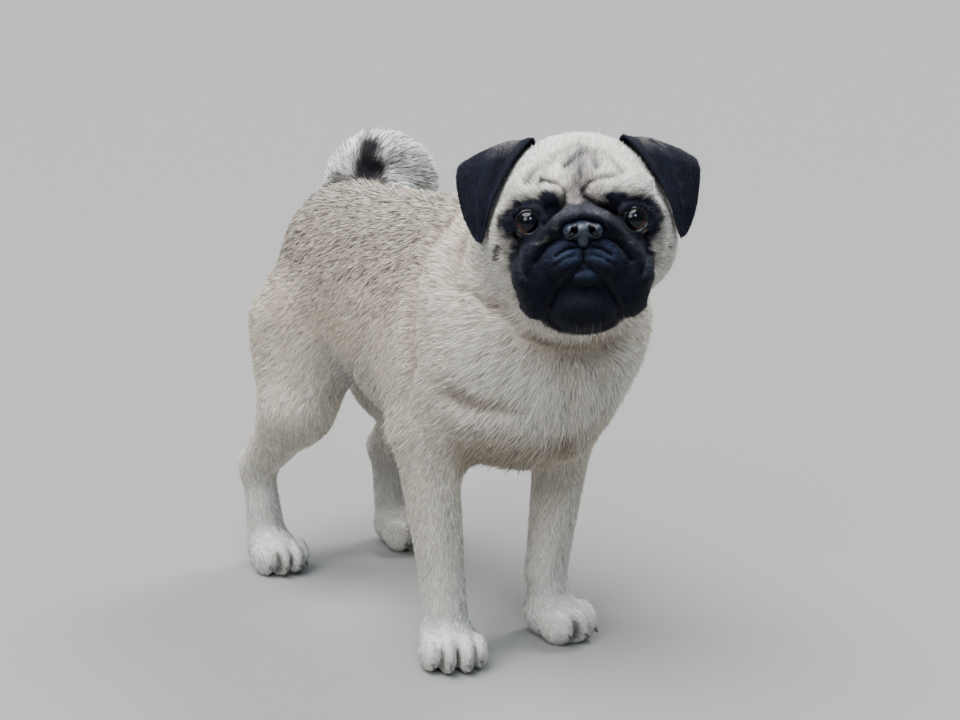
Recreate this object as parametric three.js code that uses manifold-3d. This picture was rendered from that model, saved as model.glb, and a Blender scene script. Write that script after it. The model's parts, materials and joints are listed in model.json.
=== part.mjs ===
// A pug, life size: a still model that stands on its four paws, with the head turned to its right
// and the tail curled over the back.
// The whole animal is one smooth form, written as a distance that is negative inside. Each sub-part
// is a sphere, cylinder, capsule or loft whose vertices are drawn out to that form, and thin planar
// cuts part it from its neighbours.
// Axes: +X to the animal's left, +Y to its tail, +Z up, with the floor at Z = 0.

import * as THREE from "three";
import { LoftGeometry } from "three/addons/geometries/LoftGeometry.js";
import { mergeVertices } from "three/addons/utils/BufferGeometryUtils.js";
import Module from "manifold-3d";

const wasm = await Module();
wasm.setup();

// Driving dimensions, in millimetres.
const WITHERS = 300; // floor to the top of the shoulders
const HEAD_WIDTH = 126; // across the cheeks
const EYE_RADIUS = 11.5;
const EAR_THICKNESS = 3;
const CLAW_LENGTH = 9;
const CLAW_DROOP = 35; // degrees below level
const GAP = 0.3; // between neighbouring pieces

// Places and sizes of the body are in hundredths of the height at the withers, those of the head in
// hundredths of its width.
const BODY_UNIT = WITHERS / 100;
const HEAD_UNIT = HEAD_WIDTH / 100;
const RIGHT = -1;
const LEFT = 1;

// Distances: each function takes a place [x, y, z] and gives how far it lies outside a form.

function turned([x, y, z], turn) {
  const m = turn.elements;
  return [
    m[0] * x + m[1] * y + m[2] * z,
    m[4] * x + m[5] * y + m[6] * z,
    m[8] * x + m[9] * y + m[10] * z,
  ];
}

// The turn is a yaw about Z, then a pitch about X and a roll about Y, in degrees.
function turnOf(yaw = 0, pitch = 0, roll = 0) {
  const angles = [pitch, roll, yaw].map(THREE.MathUtils.degToRad);
  return new THREE.Matrix4().makeRotationFromEuler(new THREE.Euler(...angles, "ZXY"));
}

function ball([cx, cy, cz], [rx, ry, rz], turn = turnOf()) {
  return (p) => {
    const [x, y, z] = turned([p[0] - cx, p[1] - cy, p[2] - cz], turn);
    const near = Math.hypot(x / rx, y / ry, z / rz);
    const slope = Math.hypot(x / rx ** 2, y / ry ** 2, z / rz ** 2);
    return (near * (near - 1)) / Math.max(slope, 1e-9);
  };
}

// A bone is round, with one radius at each end.
function bone(a, b, ra, rb) {
  const along = [b[0] - a[0], b[1] - a[1], b[2] - a[2]];
  const length2 = along[0] ** 2 + along[1] ** 2 + along[2] ** 2;
  return (p) => {
    const q = [p[0] - a[0], p[1] - a[1], p[2] - a[2]];
    const share = (q[0] * along[0] + q[1] * along[1] + q[2] * along[2]) / length2;
    const t = Math.min(Math.max(share, 0), 1);
    const off = Math.hypot(q[0] - t * along[0], q[1] - t * along[1], q[2] - t * along[2]);
    return off - (ra + (rb - ra) * t);
  };
}

// A chain of bones through the places, with a radius at each.
function chain(places, radii) {
  const bones = places.slice(1).map((b, i) => bone(places[i], b, radii[i], radii[i + 1]));
  return (p) => Math.min(...bones.map((form) => form(p)));
}

function smoothMin(a, b, soft) {
  const h = Math.max(soft - Math.abs(a - b), 0);
  return Math.min(a, b) - (h * h) / (4 * soft);
}

function joined(soft, ...forms) {
  return (p) => forms.slice(1).reduce((d, form) => smoothMin(d, form(p), soft), forms[0](p));
}

function without(soft, form, hollow) {
  return (p) => -smoothMin(-form(p), hollow(p), soft);
}

// The form on the animal's left, and the same mirrored on its right.
function mirrored(form) {
  return (p) => form([Math.abs(p[0]), p[1], p[2]]);
}

// A form in units and axes of its own, set down at a place.
function placed(form, at, turn, unit) {
  return (p) => {
    const q = turned([p[0] - at[0], p[1] - at[1], p[2] - at[2]], turn);
    return form([q[0] / unit, q[1] / unit, q[2] / unit]) * unit;
  };
}

// A furrow is a crease in the face. It follows places [x, z] seen from the front, and takes the
// skin down by its depth, or up where the depth is negative, fading out towards the cheeks.
const FACE_FRONT = -28;
const FACE_FADE = 12;

function furrow(line, width, depth) {
  const reach = chain(line.map(([x, z]) => [x, 0, z]), line.map(() => 0));
  return ([x, y, z]) => {
    const front = THREE.MathUtils.smoothstep(FACE_FRONT + FACE_FADE - y, 0, FACE_FADE);
    const off = reach([x, 0, z]) / width;
    return depth * front * Math.exp(-off * off);
  };
}

function creased(form, furrows) {
  return (p) => furrows.reduce((d, crease) => d + crease(p), form(p));
}

// Head, in hundredths of its width: the face looks to -Y, with Z = 0 at the eyes.
const HEAD_AT = [-8, -57.4, 104];
const HEAD_TURN = turnOf(-41, -9, -4);
const EYE_AT = [25.8, -28.5, 0];
const EYE_YAW = 6;
const eyeRadius = EYE_RADIUS / HEAD_UNIT;

function ring([rx, rz], front, thickness) {
  return ([x, y, z]) => {
    const scale = rz / rx;
    const around = Math.hypot(x, z / scale) - rx;
    return Math.hypot(around, y - front) - thickness;
  };
}

function eyeLids() {
  const opening = [0.82, 0.74].map((share) => share * eyeRadius);
  const front = -0.62 * eyeRadius;
  return placed(ring(opening, front, 0.2 * eyeRadius), EYE_AT, turnOf(EYE_YAW), 1);
}

function headForm() {
  const skull = ball([0, 8, 12], [42, 42, 34]);
  const cheek = mirrored(ball([27, 0, -10], [23.5, 30, 27]));
  const throat = ball([0, -4, -34], [30, 30, 25]);
  const brow = mirrored(ball([19, -22, 16], [18, 14, 12]));
  const orbit = mirrored(ball([27, -19, 0], [15, 14.5, 13]));
  const muzzle = ball([0, -29, -20], [28, 20, 22]);
  const cushion = ball([0, -37.5, -6], [17, 13.5, 12]);
  const upperLip = mirrored(ball([9, -41, -20], [12, 12.5, 10]));
  const flew = mirrored(ball([23, -31, -30], [11.5, 17, 18]));
  const jaw = ball([0, -33, -42], [19, 18, 13]);
  const lowerLip = ball([0.8, -46, -27], [6, 6, 4]);
  const bulk = joined(14, skull, cheek, throat);
  const face = joined(6, bulk, brow, orbit, muzzle, cushion, upperLip, flew, jaw);
  return joined(1.5, joined(2, face, lowerLip), mirrored(eyeLids()));
}

const NOSE_ROLL = [[0, 5], [11, 1], [20, -7], [28, -17], [31, -27]];
const MOUTH = [[0, -20], [6, -23.5], [10.5, -29], [14, -35], [17.5, -42], [19, -49]];
const BROW_CREASE = [[18, 20], [11, 20], [8, 14], [10, 6], [19, -3]];
const FURROWS = [
  furrow(NOSE_ROLL, 4, -3.8),
  furrow(MOUTH, 1.9, 2.2),
  furrow([[0, -9], [0, -19]], 1.4, 1.6),
  furrow(BROW_CREASE, 2.2, 1.5),
  furrow([[0, 14], [0, 36]], 3.2, 1.6),
  furrow([[42, 2], [39, -12], [36, -28], [33, -38]], 2.6, 1.8),
].map(mirrored);

const headShape = creased(headForm(), FURROWS);

// Nose leather.
const NOSE_AT = [0, -47, -4.4];

function noseForm() {
  const middle = ball([0, -48.4, -4.4], [7.6, 7.4, 5]);
  const wing = mirrored(ball([5.8, -49.4, -4.8], [4.1, 5.6, 4]));
  const nostril = mirrored(bone([3.6, -58.4, -3.4], [3, -48.4, -3.4], 1.8, 0.8));
  const slit = mirrored(bone([4.4, -56.4, -4.2], [9, -52.9, -6.4], 1.1, 0.6));
  return without(0.5, joined(1, middle, wing), joined(0.5, nostril, slit));
}

// Trunk, in hundredths of the withers.
function trunkForm() {
  const ribs = ball([-1, -12, 71], [24, 36, 29]);
  const loin = ball([0, 18, 75], [21, 34, 22]);
  const forechest = ball([-2, -38, 66], [21, 19, 22]);
  const croup = ball([0, 35, 75], [15, 17, 20]);
  const spine = bone([0, -24, 86], [0, 34, 86], 14, 13);
  const shoulder = mirrored(ball([20, -28, 68], [11, 15, 24], turnOf(0, 12)));
  const haunch = mirrored(ball([13.5, 38, 56], [9.5, 15, 20], turnOf(0, 10)));
  const nape = bone([-1, -28, 82], [-5, -48, 98], 21, 17);
  const ruff = ball([3, -40, 78], [23.5, 16.5, 18]);
  return joined(10, joined(12, ribs, loin, forechest, croup), spine, shoulder, haunch, nape, ruff);
}

// Legs. Each paw stands with its middle over a place on the floor, turned by a yaw.
const PAW_HEIGHT = 4.8;
const FORELEGS = {
  right: { elbow: [-23, -26, 52], wrist: [-21.5, -33, 15], paw: [-21.7, -35.5], yaw: -24 },
  left: { elbow: [17, -29, 52], wrist: [9.6, -32.5, 15], paw: [10.4, -35.5], yaw: 18 },
};
const HINDLEGS = {
  right: { hip: [-14, 38, 64], stifle: [-18.5, 32, 44], hock: [-19, 48, 26], paw: [-18, 41.5], yaw: -4 },
  left: { hip: [14, 38, 64], stifle: [19.5, 30, 44], hock: [20.5, 46, 26], paw: [21, 39], yaw: 8 },
};

function pawForm([x, y], yaw, size) {
  const middle = ball([0, 0, 0], [6.4 * size, 7.5, 5.4]);
  const innerToe = mirrored(ball([2.2 * size, -5.6, -0.5], [2.3, 4.8, 4.4]));
  const outerToe = mirrored(ball([5.6 * size, -3.6, -0.8], [2.3, 4.4, 4.1]));
  const paw = joined(0.8, middle, innerToe, outerToe);
  return placed(paw, [x, y, PAW_HEIGHT], turnOf(yaw), 1);
}

function forelegForm({ elbow, wrist, paw, yaw }) {
  const ankle = [paw[0], paw[1] + 1.5, PAW_HEIGHT + 1.5];
  const leg = chain([elbow, wrist, ankle], [7.8, 5.3, 5.1]);
  return joined(3, leg, pawForm(paw, yaw, 1));
}

function hindlegForm({ hip, stifle, hock, paw, yaw }) {
  const heel = [paw[0], paw[1] + 3, PAW_HEIGHT + 1.5];
  const thigh = bone(hip, stifle, 12.5, 8.6);
  const shin = bone(stifle, hock, 8.6, 5);
  const pastern = bone(hock, heel, 4.6, 4.8);
  return joined(3, joined(5, thigh, shin), pastern, pawForm(paw, yaw, 0.9));
}

function legForms() {
  const fore = Object.values(FORELEGS).map(forelegForm);
  const hind = Object.values(HINDLEGS).map(hindlegForm);
  return (p) => Math.min(...[...fore, ...hind].map((form) => form(p)));
}

// The tail: one curl over the left of the croup, that rises from its root, goes over and forward,
// and comes down with its tip clear of the back.
const TAIL_MIDDLE = new THREE.Vector3(7, 32, 98.5);
const TAIL_FRONT = new THREE.Vector3(0.45, -0.89, 0);
const TAIL_SIDE = new THREE.Vector3(0.89, 0.45, 0);
const TAIL_CURL = { from: 206, to: -40, radius: 8.8, tipRadius: 7.6, drift: 7 };
const TAIL_THICKNESS = { root: 7.8, tip: 4.6 };

class TailLine extends THREE.Curve {
  getPoint(t, target = new THREE.Vector3()) {
    const angle = THREE.MathUtils.degToRad(THREE.MathUtils.lerp(TAIL_CURL.from, TAIL_CURL.to, t));
    const radius = THREE.MathUtils.lerp(TAIL_CURL.radius, TAIL_CURL.tipRadius, t);
    return target
      .copy(TAIL_MIDDLE)
      .addScaledVector(TAIL_FRONT, radius * Math.cos(angle))
      .addScaledVector(new THREE.Vector3(0, 0, 1), radius * Math.sin(angle))
      .addScaledVector(TAIL_SIDE, TAIL_CURL.drift * t * t);
  }
}

// The whole animal without its ears, eyes, nose leather and tail.
const headOnBody = placed(headShape, HEAD_AT, HEAD_TURN, HEAD_UNIT / BODY_UNIT);
const flesh = joined(6, joined(6, trunkForm(), legForms()), headOnBody);

// Cuts. Each plane goes through a place, and its region lies on the side that its normal points to.
function plane(at, normal) {
  const n = new THREE.Vector3(...normal).normalize();
  return { at: new THREE.Vector3(...at), normal: n };
}

function past({ at, normal }, [x, y, z]) {
  return (x - at.x) * normal.x + (y - at.y) * normal.y + (z - at.z) * normal.z;
}

const BEHIND_HEAD = plane([-1, -43, 93], [-0.4, -0.55, 0.73]);
const BELOW_NECK = plane([-1, -36, 86], [-0.1, -0.5, 0.86]);
const WRIST_HEIGHT = 14;
const HOCK_HEIGHT = 24;

function forelegPlanes(side) {
  return [
    plane([side * 20, 0, 51], [side * 0.55, 0, -0.83]),
    plane([0, -14, 0], [0, -1, 0]),
    plane([side * 2, 0, 0], [side, 0, 0]),
  ];
}

function hindlegPlanes(side) {
  return [
    plane([side * 12, 0, 62], [side * 0.66, 0, -0.75]),
    plane([0, 14, 0], [0, 1, 0]),
    plane([side, 0, 0], [side, 0, 0]),
  ];
}

const LEG_REGIONS = [RIGHT, LEFT].flatMap((side) => [forelegPlanes(side), hindlegPlanes(side)]);

// How far a place lies outside the region that all the planes share.
function outside(planes) {
  return (p) => Math.max(...planes.map((cut) => -past(cut, p)));
}

function flipped({ at, normal }) {
  return { at, normal: normal.clone().negate() };
}

const OVERLAP = 8; // how far a form goes past a cut before it is trimmed there

function within(planes) {
  const edge = outside(planes);
  return (p) => Math.max(flesh(p), edge(p) - OVERLAP);
}

function trunkOnly(p) {
  const cut = Math.max(flesh(p), outside([flipped(BELOW_NECK)])(p) - OVERLAP);
  return LEG_REGIONS.reduce((d, region) => Math.max(d, -outside(region)(p) - OVERLAP), cut);
}

// Drawing a geometry out to a form.

// The distance from a place inside a form to its surface along a direction.
function castOut(form, from, direction) {
  const FIRST_STEP = 0.4;
  const FURTHEST = 90;
  const place = (t) => from.map((c, i) => c + t * direction[i]);
  let near = 0;
  let far = FIRST_STEP;
  while (far < FURTHEST && form(place(far)) < 0) {
    near = far;
    far += Math.max(FIRST_STEP, -0.5 * form(place(far)));
  }
  for (let i = 0; i < 24; i++) {
    const middle = (near + far) / 2;
    if (form(place(middle)) < 0) near = middle;
    else far = middle;
  }
  return place(near);
}

// Each vertex leaves the axis at the share of its height and goes out along its own direction.
function drawnOut(geometry, form, axis) {
  const position = geometry.attributes.position;
  for (let i = 0; i < position.count; i++) {
    const { from, direction } = axis(new THREE.Vector3().fromBufferAttribute(position, i));
    position.setXYZ(i, ...castOut(form, from, direction.toArray()));
  }
  return geometry;
}

// A capsule round an upright or level axis that may bend: line(t) is the axis from t = 0 to 1.
function sleeve(form, line, { around, along, caps, toward = new THREE.Vector3(0, 0, 1) }) {
  const LENGTH = 2;
  const turn = new THREE.Quaternion().setFromUnitVectors(new THREE.Vector3(0, 1, 0), toward);
  const geometry = new THREE.CapsuleGeometry(1, LENGTH, caps, around, along);
  return drawnOut(geometry, form, (v) => {
    const height = THREE.MathUtils.clamp(v.y, -LENGTH / 2, LENGTH / 2);
    const direction = new THREE.Vector3(v.x, v.y - height, v.z).normalize().applyQuaternion(turn);
    return { from: line(height / LENGTH + 0.5), direction };
  });
}

// A sphere round a place inside the form, whose poles lie ahead and behind in the turned axes. A
// bias over 1 brings its rings closer together ahead.
function globe(form, middle, { around, rings, bias = 1, turn = turnOf() }) {
  const geometry = new THREE.SphereGeometry(1, around, rings);
  return drawnOut(geometry, form, (v) => {
    const angle = Math.PI * Math.pow(Math.acos(THREE.MathUtils.clamp(v.y, -1, 1)) / Math.PI, bias);
    const spin = Math.atan2(v.z, v.x);
    const side = Math.sin(angle);
    const direction = new THREE.Vector3(side * Math.cos(spin), -Math.cos(angle), side * Math.sin(spin));
    return { from: middle, direction: direction.applyMatrix4(turn) };
  });
}

function line(places) {
  return (t) => {
    const reach = t * (places.length - 1);
    const i = Math.min(Math.floor(reach), places.length - 2);
    return places[i].map((c, k) => THREE.MathUtils.lerp(c, places[i + 1][k], reach - i));
  };
}

// Solids.

function solidOf(geometry) {
  const bare = new THREE.BufferGeometry().setIndex(geometry.index);
  bare.setAttribute("position", geometry.attributes.position);
  const merged = mergeVertices(bare, 1e-4);
  const { index } = merged;
  const triangles = [];
  for (let i = 0; i < index.count; i += 3) {
    const [a, b, c] = [index.getX(i), index.getX(i + 1), index.getX(i + 2)];
    if (a !== b && b !== c && c !== a) triangles.push(a, b, c);
  }
  const vertProperties = new Float32Array(merged.attributes.position.array);
  const mesh = { numProp: 3, vertProperties, triVerts: new Uint32Array(triangles) };
  const solid = new wasm.Manifold(new wasm.Mesh(mesh));
  if (solid.volume() > 0) return solid;
  mesh.triVerts.reverse();
  return new wasm.Manifold(new wasm.Mesh(mesh));
}

// A block that fills the plane's region, with its face moved into the region by half the gap, or
// out of it where the gap is negative.
function blockPast({ at, normal }, gap = GAP) {
  const SIZE = 500;
  const box = new THREE.BoxGeometry(SIZE, SIZE, SIZE).translate(0, 0, SIZE / 2 + gap / 2 / BODY_UNIT);
  const turn = new THREE.Quaternion().setFromUnitVectors(new THREE.Vector3(0, 0, 1), normal);
  return solidOf(box.applyQuaternion(turn).translate(at.x, at.y, at.z));
}

function kept(solid, planes) {
  return planes.reduce((rest, cut) => rest.intersect(blockPast(cut)), solid);
}

// What is left of a solid outside the region that the planes share.
function removed(solid, planes) {
  const [first, ...others] = planes.map((cut) => blockPast(cut, -GAP));
  return solid.subtract(others.reduce((region, block) => region.intersect(block), first));
}

function largest(solid) {
  return solid.decompose().reduce((a, b) => (a.volume() > b.volume() ? a : b));
}

function meshOf(name, solid, unit, { color, roughness }) {
  const { vertProperties, triVerts } = largest(solid).getMesh();
  const geometry = new THREE.BufferGeometry();
  geometry.setAttribute("position", new THREE.BufferAttribute(vertProperties, 3));
  geometry.setIndex(new THREE.BufferAttribute(triVerts, 1));
  geometry.computeVertexNormals();
  const material = new THREE.MeshStandardMaterial({ color, roughness, metalness: 0 });
  const mesh = new THREE.Mesh(geometry.scale(unit, unit, unit), material);
  mesh.name = name;
  return mesh;
}

const FAWN = { color: 0xc9b9a2, roughness: 0.9 };
const CREAM = { color: 0xe2d8c8, roughness: 0.9 };
const BLACK_COAT = { color: 0x1b191c, roughness: 0.8 };
const LEATHER = { color: 0x16171b, roughness: 0.45 };
const EYE = { color: 0x120c08, roughness: 0.1 };

const FLOOR = plane([0, 0, 0], [0, 0, 1]);

// Trunk and neck.
const NECK_MIDDLE = [-1, -38, 91];
const TRUNK_LINE = [[0, 34, 74], [0, 10, 74], [-1, -20, 70], [-2, -36, 68]];
const TRUNK_SHAPE = { around: 36, along: 22, caps: 7, toward: new THREE.Vector3(0, -1, 0) };

function trunk() {
  const whole = solidOf(sleeve(trunkOnly, line(TRUNK_LINE), TRUNK_SHAPE));
  const open = kept(whole, [flipped(BELOW_NECK), flipped(BEHIND_HEAD)]);
  return LEG_REGIONS.reduce(removed, open);
}

function neck() {
  const planes = [flipped(BEHIND_HEAD), BELOW_NECK];
  const shape = { around: 32, rings: 18 };
  return kept(solidOf(globe(within(planes), NECK_MIDDLE, shape)), planes);
}

// Head, with its pieces set down from the head's own axes.
const toBody = new THREE.Matrix4()
  .makeTranslation(...HEAD_AT)
  .multiply(HEAD_TURN)
  .multiply(new THREE.Matrix4().makeScale(...Array(3).fill(HEAD_UNIT / BODY_UNIT)));

function fromHead(place) {
  return new THREE.Vector3(...place).applyMatrix4(toBody).toArray();
}

function grown(form, distance) {
  return (p) => form(p) - distance;
}

const HEAD_MIDDLE = [0, -16, -10];

function headWhole(distance = 0) {
  const shape = { around: 60, rings: 41, bias: 1.25, turn: HEAD_TURN };
  return solidOf(globe(grown(within([BEHIND_HEAD]), distance), fromHead(HEAD_MIDDLE), shape));
}

function eyeball(side, radius) {
  const [x, y, z] = EYE_AT;
  const ball = new THREE.SphereGeometry(radius, 20, 12).translate(side * x, y, z);
  return solidOf(ball.applyMatrix4(toBody));
}

function nose(distance = 0) {
  const form = grown(noseForm(), distance);
  return solidOf(globe(form, NOSE_AT, { around: 24, rings: 12 }).applyMatrix4(toBody));
}

function head() {
  const gap = GAP / HEAD_UNIT;
  const sockets = [RIGHT, LEFT].map((side) => eyeball(side, eyeRadius + gap));
  const open = [...sockets, nose(gap)].reduce((rest, hollow) => rest.subtract(hollow), headWhole());
  return kept(open, [BEHIND_HEAD]);
}

// Ears: each is a thin flap whose rows run from the root in the skull, back and up to the fold,
// then forward and down to the tip. A row goes from the inner edge to the outer one.
const EAR_INNER_EDGE = [
  [20, 11, 32],
  [21, 7, 39],
  [23, 0, 42.5],
  [30, -7, 35],
  [38, -12, 23],
  [44, -16, 10],
  [48, -17, -4],
  [49.5, -17, -8.5],
];
const EAR_OUTER_EDGE = [
  [35, 20, 18],
  [49, 19, 25.5],
  [59, 13, 30.5],
  [62, 9, 25],
  [61, 5, 15],
  [58.5, -1, 4],
  [54.5, -9, -5],
  [52, -15, -8.5],
];
const EAR_BULGE = 3.5;
const EAR_OUTWARD = new THREE.Vector3(0.35, -0.5, 0.25).normalize();
const EAR_ROWS = 16;
const EAR_COLUMNS = 6;

function earPlace(u, v) {
  const [inner, outer] = [EAR_INNER_EDGE, EAR_OUTER_EDGE].map((edge) =>
    new THREE.CatmullRomCurve3(edge.map((place) => new THREE.Vector3(...place))).getPoint(u),
  );
  const across = outer.clone().sub(inner);
  const rise = EAR_BULGE * Math.sin(Math.PI * v) * Math.sin(Math.PI * Math.min(1, u + 0.15));
  return inner.addScaledVector(across, v).addScaledVector(EAR_OUTWARD, rise);
}

function earNormal(u, v) {
  const STEP = 0.02;
  const [u0, u1] = [Math.max(u - STEP, 0), Math.min(u + STEP, 1)];
  const down = earPlace(u1, v).sub(earPlace(u0, v));
  const across = earPlace(u, 1).sub(earPlace(u, 0));
  return down.cross(across).normalize();
}

function ear(side) {
  const half = EAR_THICKNESS / HEAD_UNIT / 2;
  const columns = Array.from({ length: EAR_COLUMNS + 1 }, (_, i) => i / EAR_COLUMNS);
  const sections = Array.from({ length: EAR_ROWS + 1 }, (_, row) => {
    const u = row / EAR_ROWS;
    const face = (v, sign) => {
      const rim = 0.45 + 0.55 * Math.sin(Math.PI * v);
      return earPlace(u, v).addScaledVector(earNormal(u, v), sign * half * rim);
    };
    return [...columns.map((v) => face(v, -1)), ...[...columns].reverse().map((v) => face(v, 1))];
  });
  const flap = new LoftGeometry(sections, { capStart: true, capEnd: true });
  flap.scale(side, 1, 1);
  const gap = GAP / BODY_UNIT;
  return solidOf(flap.applyMatrix4(toBody)).subtract(headWhole(gap));
}

// Legs and paws.
function leg({ top, middle, end }, region, endPlane) {
  const planes = [...region, endPlane];
  const shape = { around: 26, along: 9, caps: 5 };
  const whole = solidOf(sleeve(within(planes), line([end, middle, top]), shape));
  return kept(whole, planes);
}

function foreleg(side, { elbow, wrist }) {
  const above = plane([0, 0, WRIST_HEIGHT], [0, 0, 1]);
  const middle = elbow.map((c, i) => (c + wrist[i]) / 2);
  return leg({ top: elbow, middle, end: wrist }, forelegPlanes(side), above);
}

function hindleg(side, { hip, stifle, hock }) {
  const above = plane([0, 0, HOCK_HEIGHT], [0, 0, 1]);
  return leg({ top: hip, middle: stifle, end: hock }, hindlegPlanes(side), above);
}

// A claw's middle lies at the front of its toe, in the paw's own axes.
const CLAW_MIDDLES = [RIGHT, LEFT].flatMap((side) => [
  [side * 2.2, -9.9, -1.9],
  [side * 5.7, -7.6, -2.1],
]);

function claws([x, y], yaw, size) {
  const length = CLAW_LENGTH / BODY_UNIT;
  const base = length / 3.2;
  const forward = Math.PI + THREE.MathUtils.degToRad(CLAW_DROOP);
  return CLAW_MIDDLES.map(([across, ahead, up]) => {
    const cone = new THREE.ConeGeometry(base, length, 6).rotateX(forward);
    cone.translate(across * size, ahead, up).applyMatrix4(turnOf(yaw));
    return solidOf(cone.translate(x, y, PAW_HEIGHT));
  });
}

function paw(joint, { paw: place, yaw }, height, size) {
  const below = plane([0, 0, height], [0, 0, -1]);
  const middle = [place[0], place[1] - 1, PAW_HEIGHT];
  const start = [place[0], place[1] - 1.5, 2.2];
  const shape = { around: 32, along: 5, caps: 4 };
  const whole = solidOf(sleeve(within([below]), line([start, middle, joint]), shape));
  const clawed = claws(place, yaw, size).reduce((rest, claw) => rest.add(claw), whole);
  return kept(clawed, [below]).intersect(blockPast(FLOOR, 0));
}

// Tail.
function tail() {
  const [ROWS, SIDES] = [26, 12];
  const curve = new TailLine();
  const sections = Array.from({ length: ROWS + 1 }, (_, row) => {
    const t = row / ROWS;
    const middle = curve.getPoint(t);
    const tangent = curve.getTangent(t);
    const across = TAIL_SIDE.clone().addScaledVector(tangent, -TAIL_SIDE.dot(tangent)).normalize();
    const up = across.clone().cross(tangent);
    const end = Math.sqrt(Math.max(1 - Math.max((t - 0.9) / 0.1, 0) ** 2, 0.06));
    const radius = THREE.MathUtils.lerp(TAIL_THICKNESS.root, TAIL_THICKNESS.tip, t) * end;
    return Array.from({ length: SIDES }, (_, i) => {
      const angle = (-2 * Math.PI * i) / SIDES;
      const point = middle.clone().addScaledVector(across, radius * Math.cos(angle));
      return point.addScaledVector(up, radius * Math.sin(angle));
    });
  });
  return solidOf(new LoftGeometry(sections, { capStart: true, capEnd: true }));
}

const grownTrunk = solidOf(
  sleeve(grown(trunkOnly, GAP / BODY_UNIT), line(TRUNK_LINE), TRUNK_SHAPE),
);

const body = new THREE.Group();
body.add(meshOf("torso", trunk(), BODY_UNIT, FAWN));
body.add(meshOf("neck", neck(), BODY_UNIT, FAWN));
body.add(meshOf("head", head(), BODY_UNIT, CREAM));
body.add(meshOf("nose", nose(), BODY_UNIT, LEATHER));
for (const [name, side] of [["right", RIGHT], ["left", LEFT]]) {
  const [fore, hind] = [FORELEGS[name], HINDLEGS[name]];
  body.add(meshOf(`eye_${name}`, eyeball(side, eyeRadius), BODY_UNIT, EYE));
  body.add(meshOf(`ear_${name}`, ear(side), BODY_UNIT, BLACK_COAT));
  body.add(meshOf(`foreleg_${name}`, foreleg(side, fore), BODY_UNIT, CREAM));
  body.add(meshOf(`hindleg_${name}`, hindleg(side, hind), BODY_UNIT, CREAM));
  body.add(meshOf(`forepaw_${name}`, paw(fore.wrist, fore, WRIST_HEIGHT, 1), BODY_UNIT, CREAM));
  body.add(meshOf(`hindpaw_${name}`, paw(hind.hock, hind, HOCK_HEIGHT, 0.9), BODY_UNIT, CREAM));
}
body.add(meshOf("tail", tail().subtract(grownTrunk), BODY_UNIT, CREAM));

// The origin is on the floor, under the middle of the animal's length and width.
const middle = new THREE.Box3().setFromObject(body).getCenter(new THREE.Vector3());
body.position.set(-middle.x, -middle.y, 0);
const pug = new THREE.Group().add(body);

export default pug;
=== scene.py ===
import json
import math
from types import SimpleNamespace

import bpy
import numpy as np
from mathutils import Matrix, Vector
from mathutils.kdtree import KDTree

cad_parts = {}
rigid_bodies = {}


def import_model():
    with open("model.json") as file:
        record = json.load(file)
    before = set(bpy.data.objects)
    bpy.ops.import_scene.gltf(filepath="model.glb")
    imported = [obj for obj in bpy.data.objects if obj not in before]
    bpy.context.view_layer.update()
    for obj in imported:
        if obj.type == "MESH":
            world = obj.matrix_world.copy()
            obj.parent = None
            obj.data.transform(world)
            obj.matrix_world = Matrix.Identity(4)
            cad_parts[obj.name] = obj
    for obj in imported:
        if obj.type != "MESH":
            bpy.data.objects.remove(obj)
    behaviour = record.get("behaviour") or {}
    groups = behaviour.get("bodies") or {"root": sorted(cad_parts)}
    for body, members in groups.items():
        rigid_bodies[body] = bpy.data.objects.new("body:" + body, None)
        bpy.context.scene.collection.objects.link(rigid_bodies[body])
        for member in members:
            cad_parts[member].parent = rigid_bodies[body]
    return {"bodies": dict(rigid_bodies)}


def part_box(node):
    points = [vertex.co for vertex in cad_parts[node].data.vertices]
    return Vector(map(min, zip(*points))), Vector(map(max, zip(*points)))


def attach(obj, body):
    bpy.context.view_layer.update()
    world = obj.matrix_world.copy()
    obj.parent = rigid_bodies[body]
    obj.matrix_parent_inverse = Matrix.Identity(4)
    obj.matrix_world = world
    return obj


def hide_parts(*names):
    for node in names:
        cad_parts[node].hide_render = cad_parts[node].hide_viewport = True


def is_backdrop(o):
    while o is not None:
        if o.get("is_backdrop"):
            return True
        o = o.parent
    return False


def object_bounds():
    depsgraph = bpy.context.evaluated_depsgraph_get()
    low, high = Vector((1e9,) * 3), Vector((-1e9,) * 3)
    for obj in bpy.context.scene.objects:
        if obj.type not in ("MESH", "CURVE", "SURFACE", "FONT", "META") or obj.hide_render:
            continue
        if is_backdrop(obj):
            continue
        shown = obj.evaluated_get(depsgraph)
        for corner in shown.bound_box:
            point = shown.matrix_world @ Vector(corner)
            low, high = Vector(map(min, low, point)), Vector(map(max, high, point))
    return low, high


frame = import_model()
cad_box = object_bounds()

# Places and sizes of the body are in hundredths of its height at the withers, those of the head in
# hundredths of the head's width, as in the solids. +X is the animal's left, +Y its tail, +Z up.
WITHERS = 0.300
HEAD_WIDTH = 0.126
BODY_UNIT = WITHERS / 100
HEAD_UNIT = HEAD_WIDTH / 100
MM = 0.001 / BODY_UNIT
FLOOR_GAP = 0.1 * MM
RIGHT, LEFT = -1, 1
TINY = 1e-9
SIDES = (("right", RIGHT), ("left", LEFT))
rng = np.random.default_rng(7)
BODY = next(iter(frame["bodies"]))


# Vectors, each a row of an array.

def length(v):
    return np.sqrt((v * v).sum(-1))


def unit(v):
    return v / np.maximum(length(v), TINY)[..., None]


def dot(a, b):
    return (a * b).sum(-1)


def smoothstep(x, start, end):
    t = np.clip((x - start) / (end - start), 0, 1)
    return t * t * (3 - 2 * t)


def mix(a, b, share):
    return a + (b - a) * np.asarray(share)[..., None]


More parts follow.
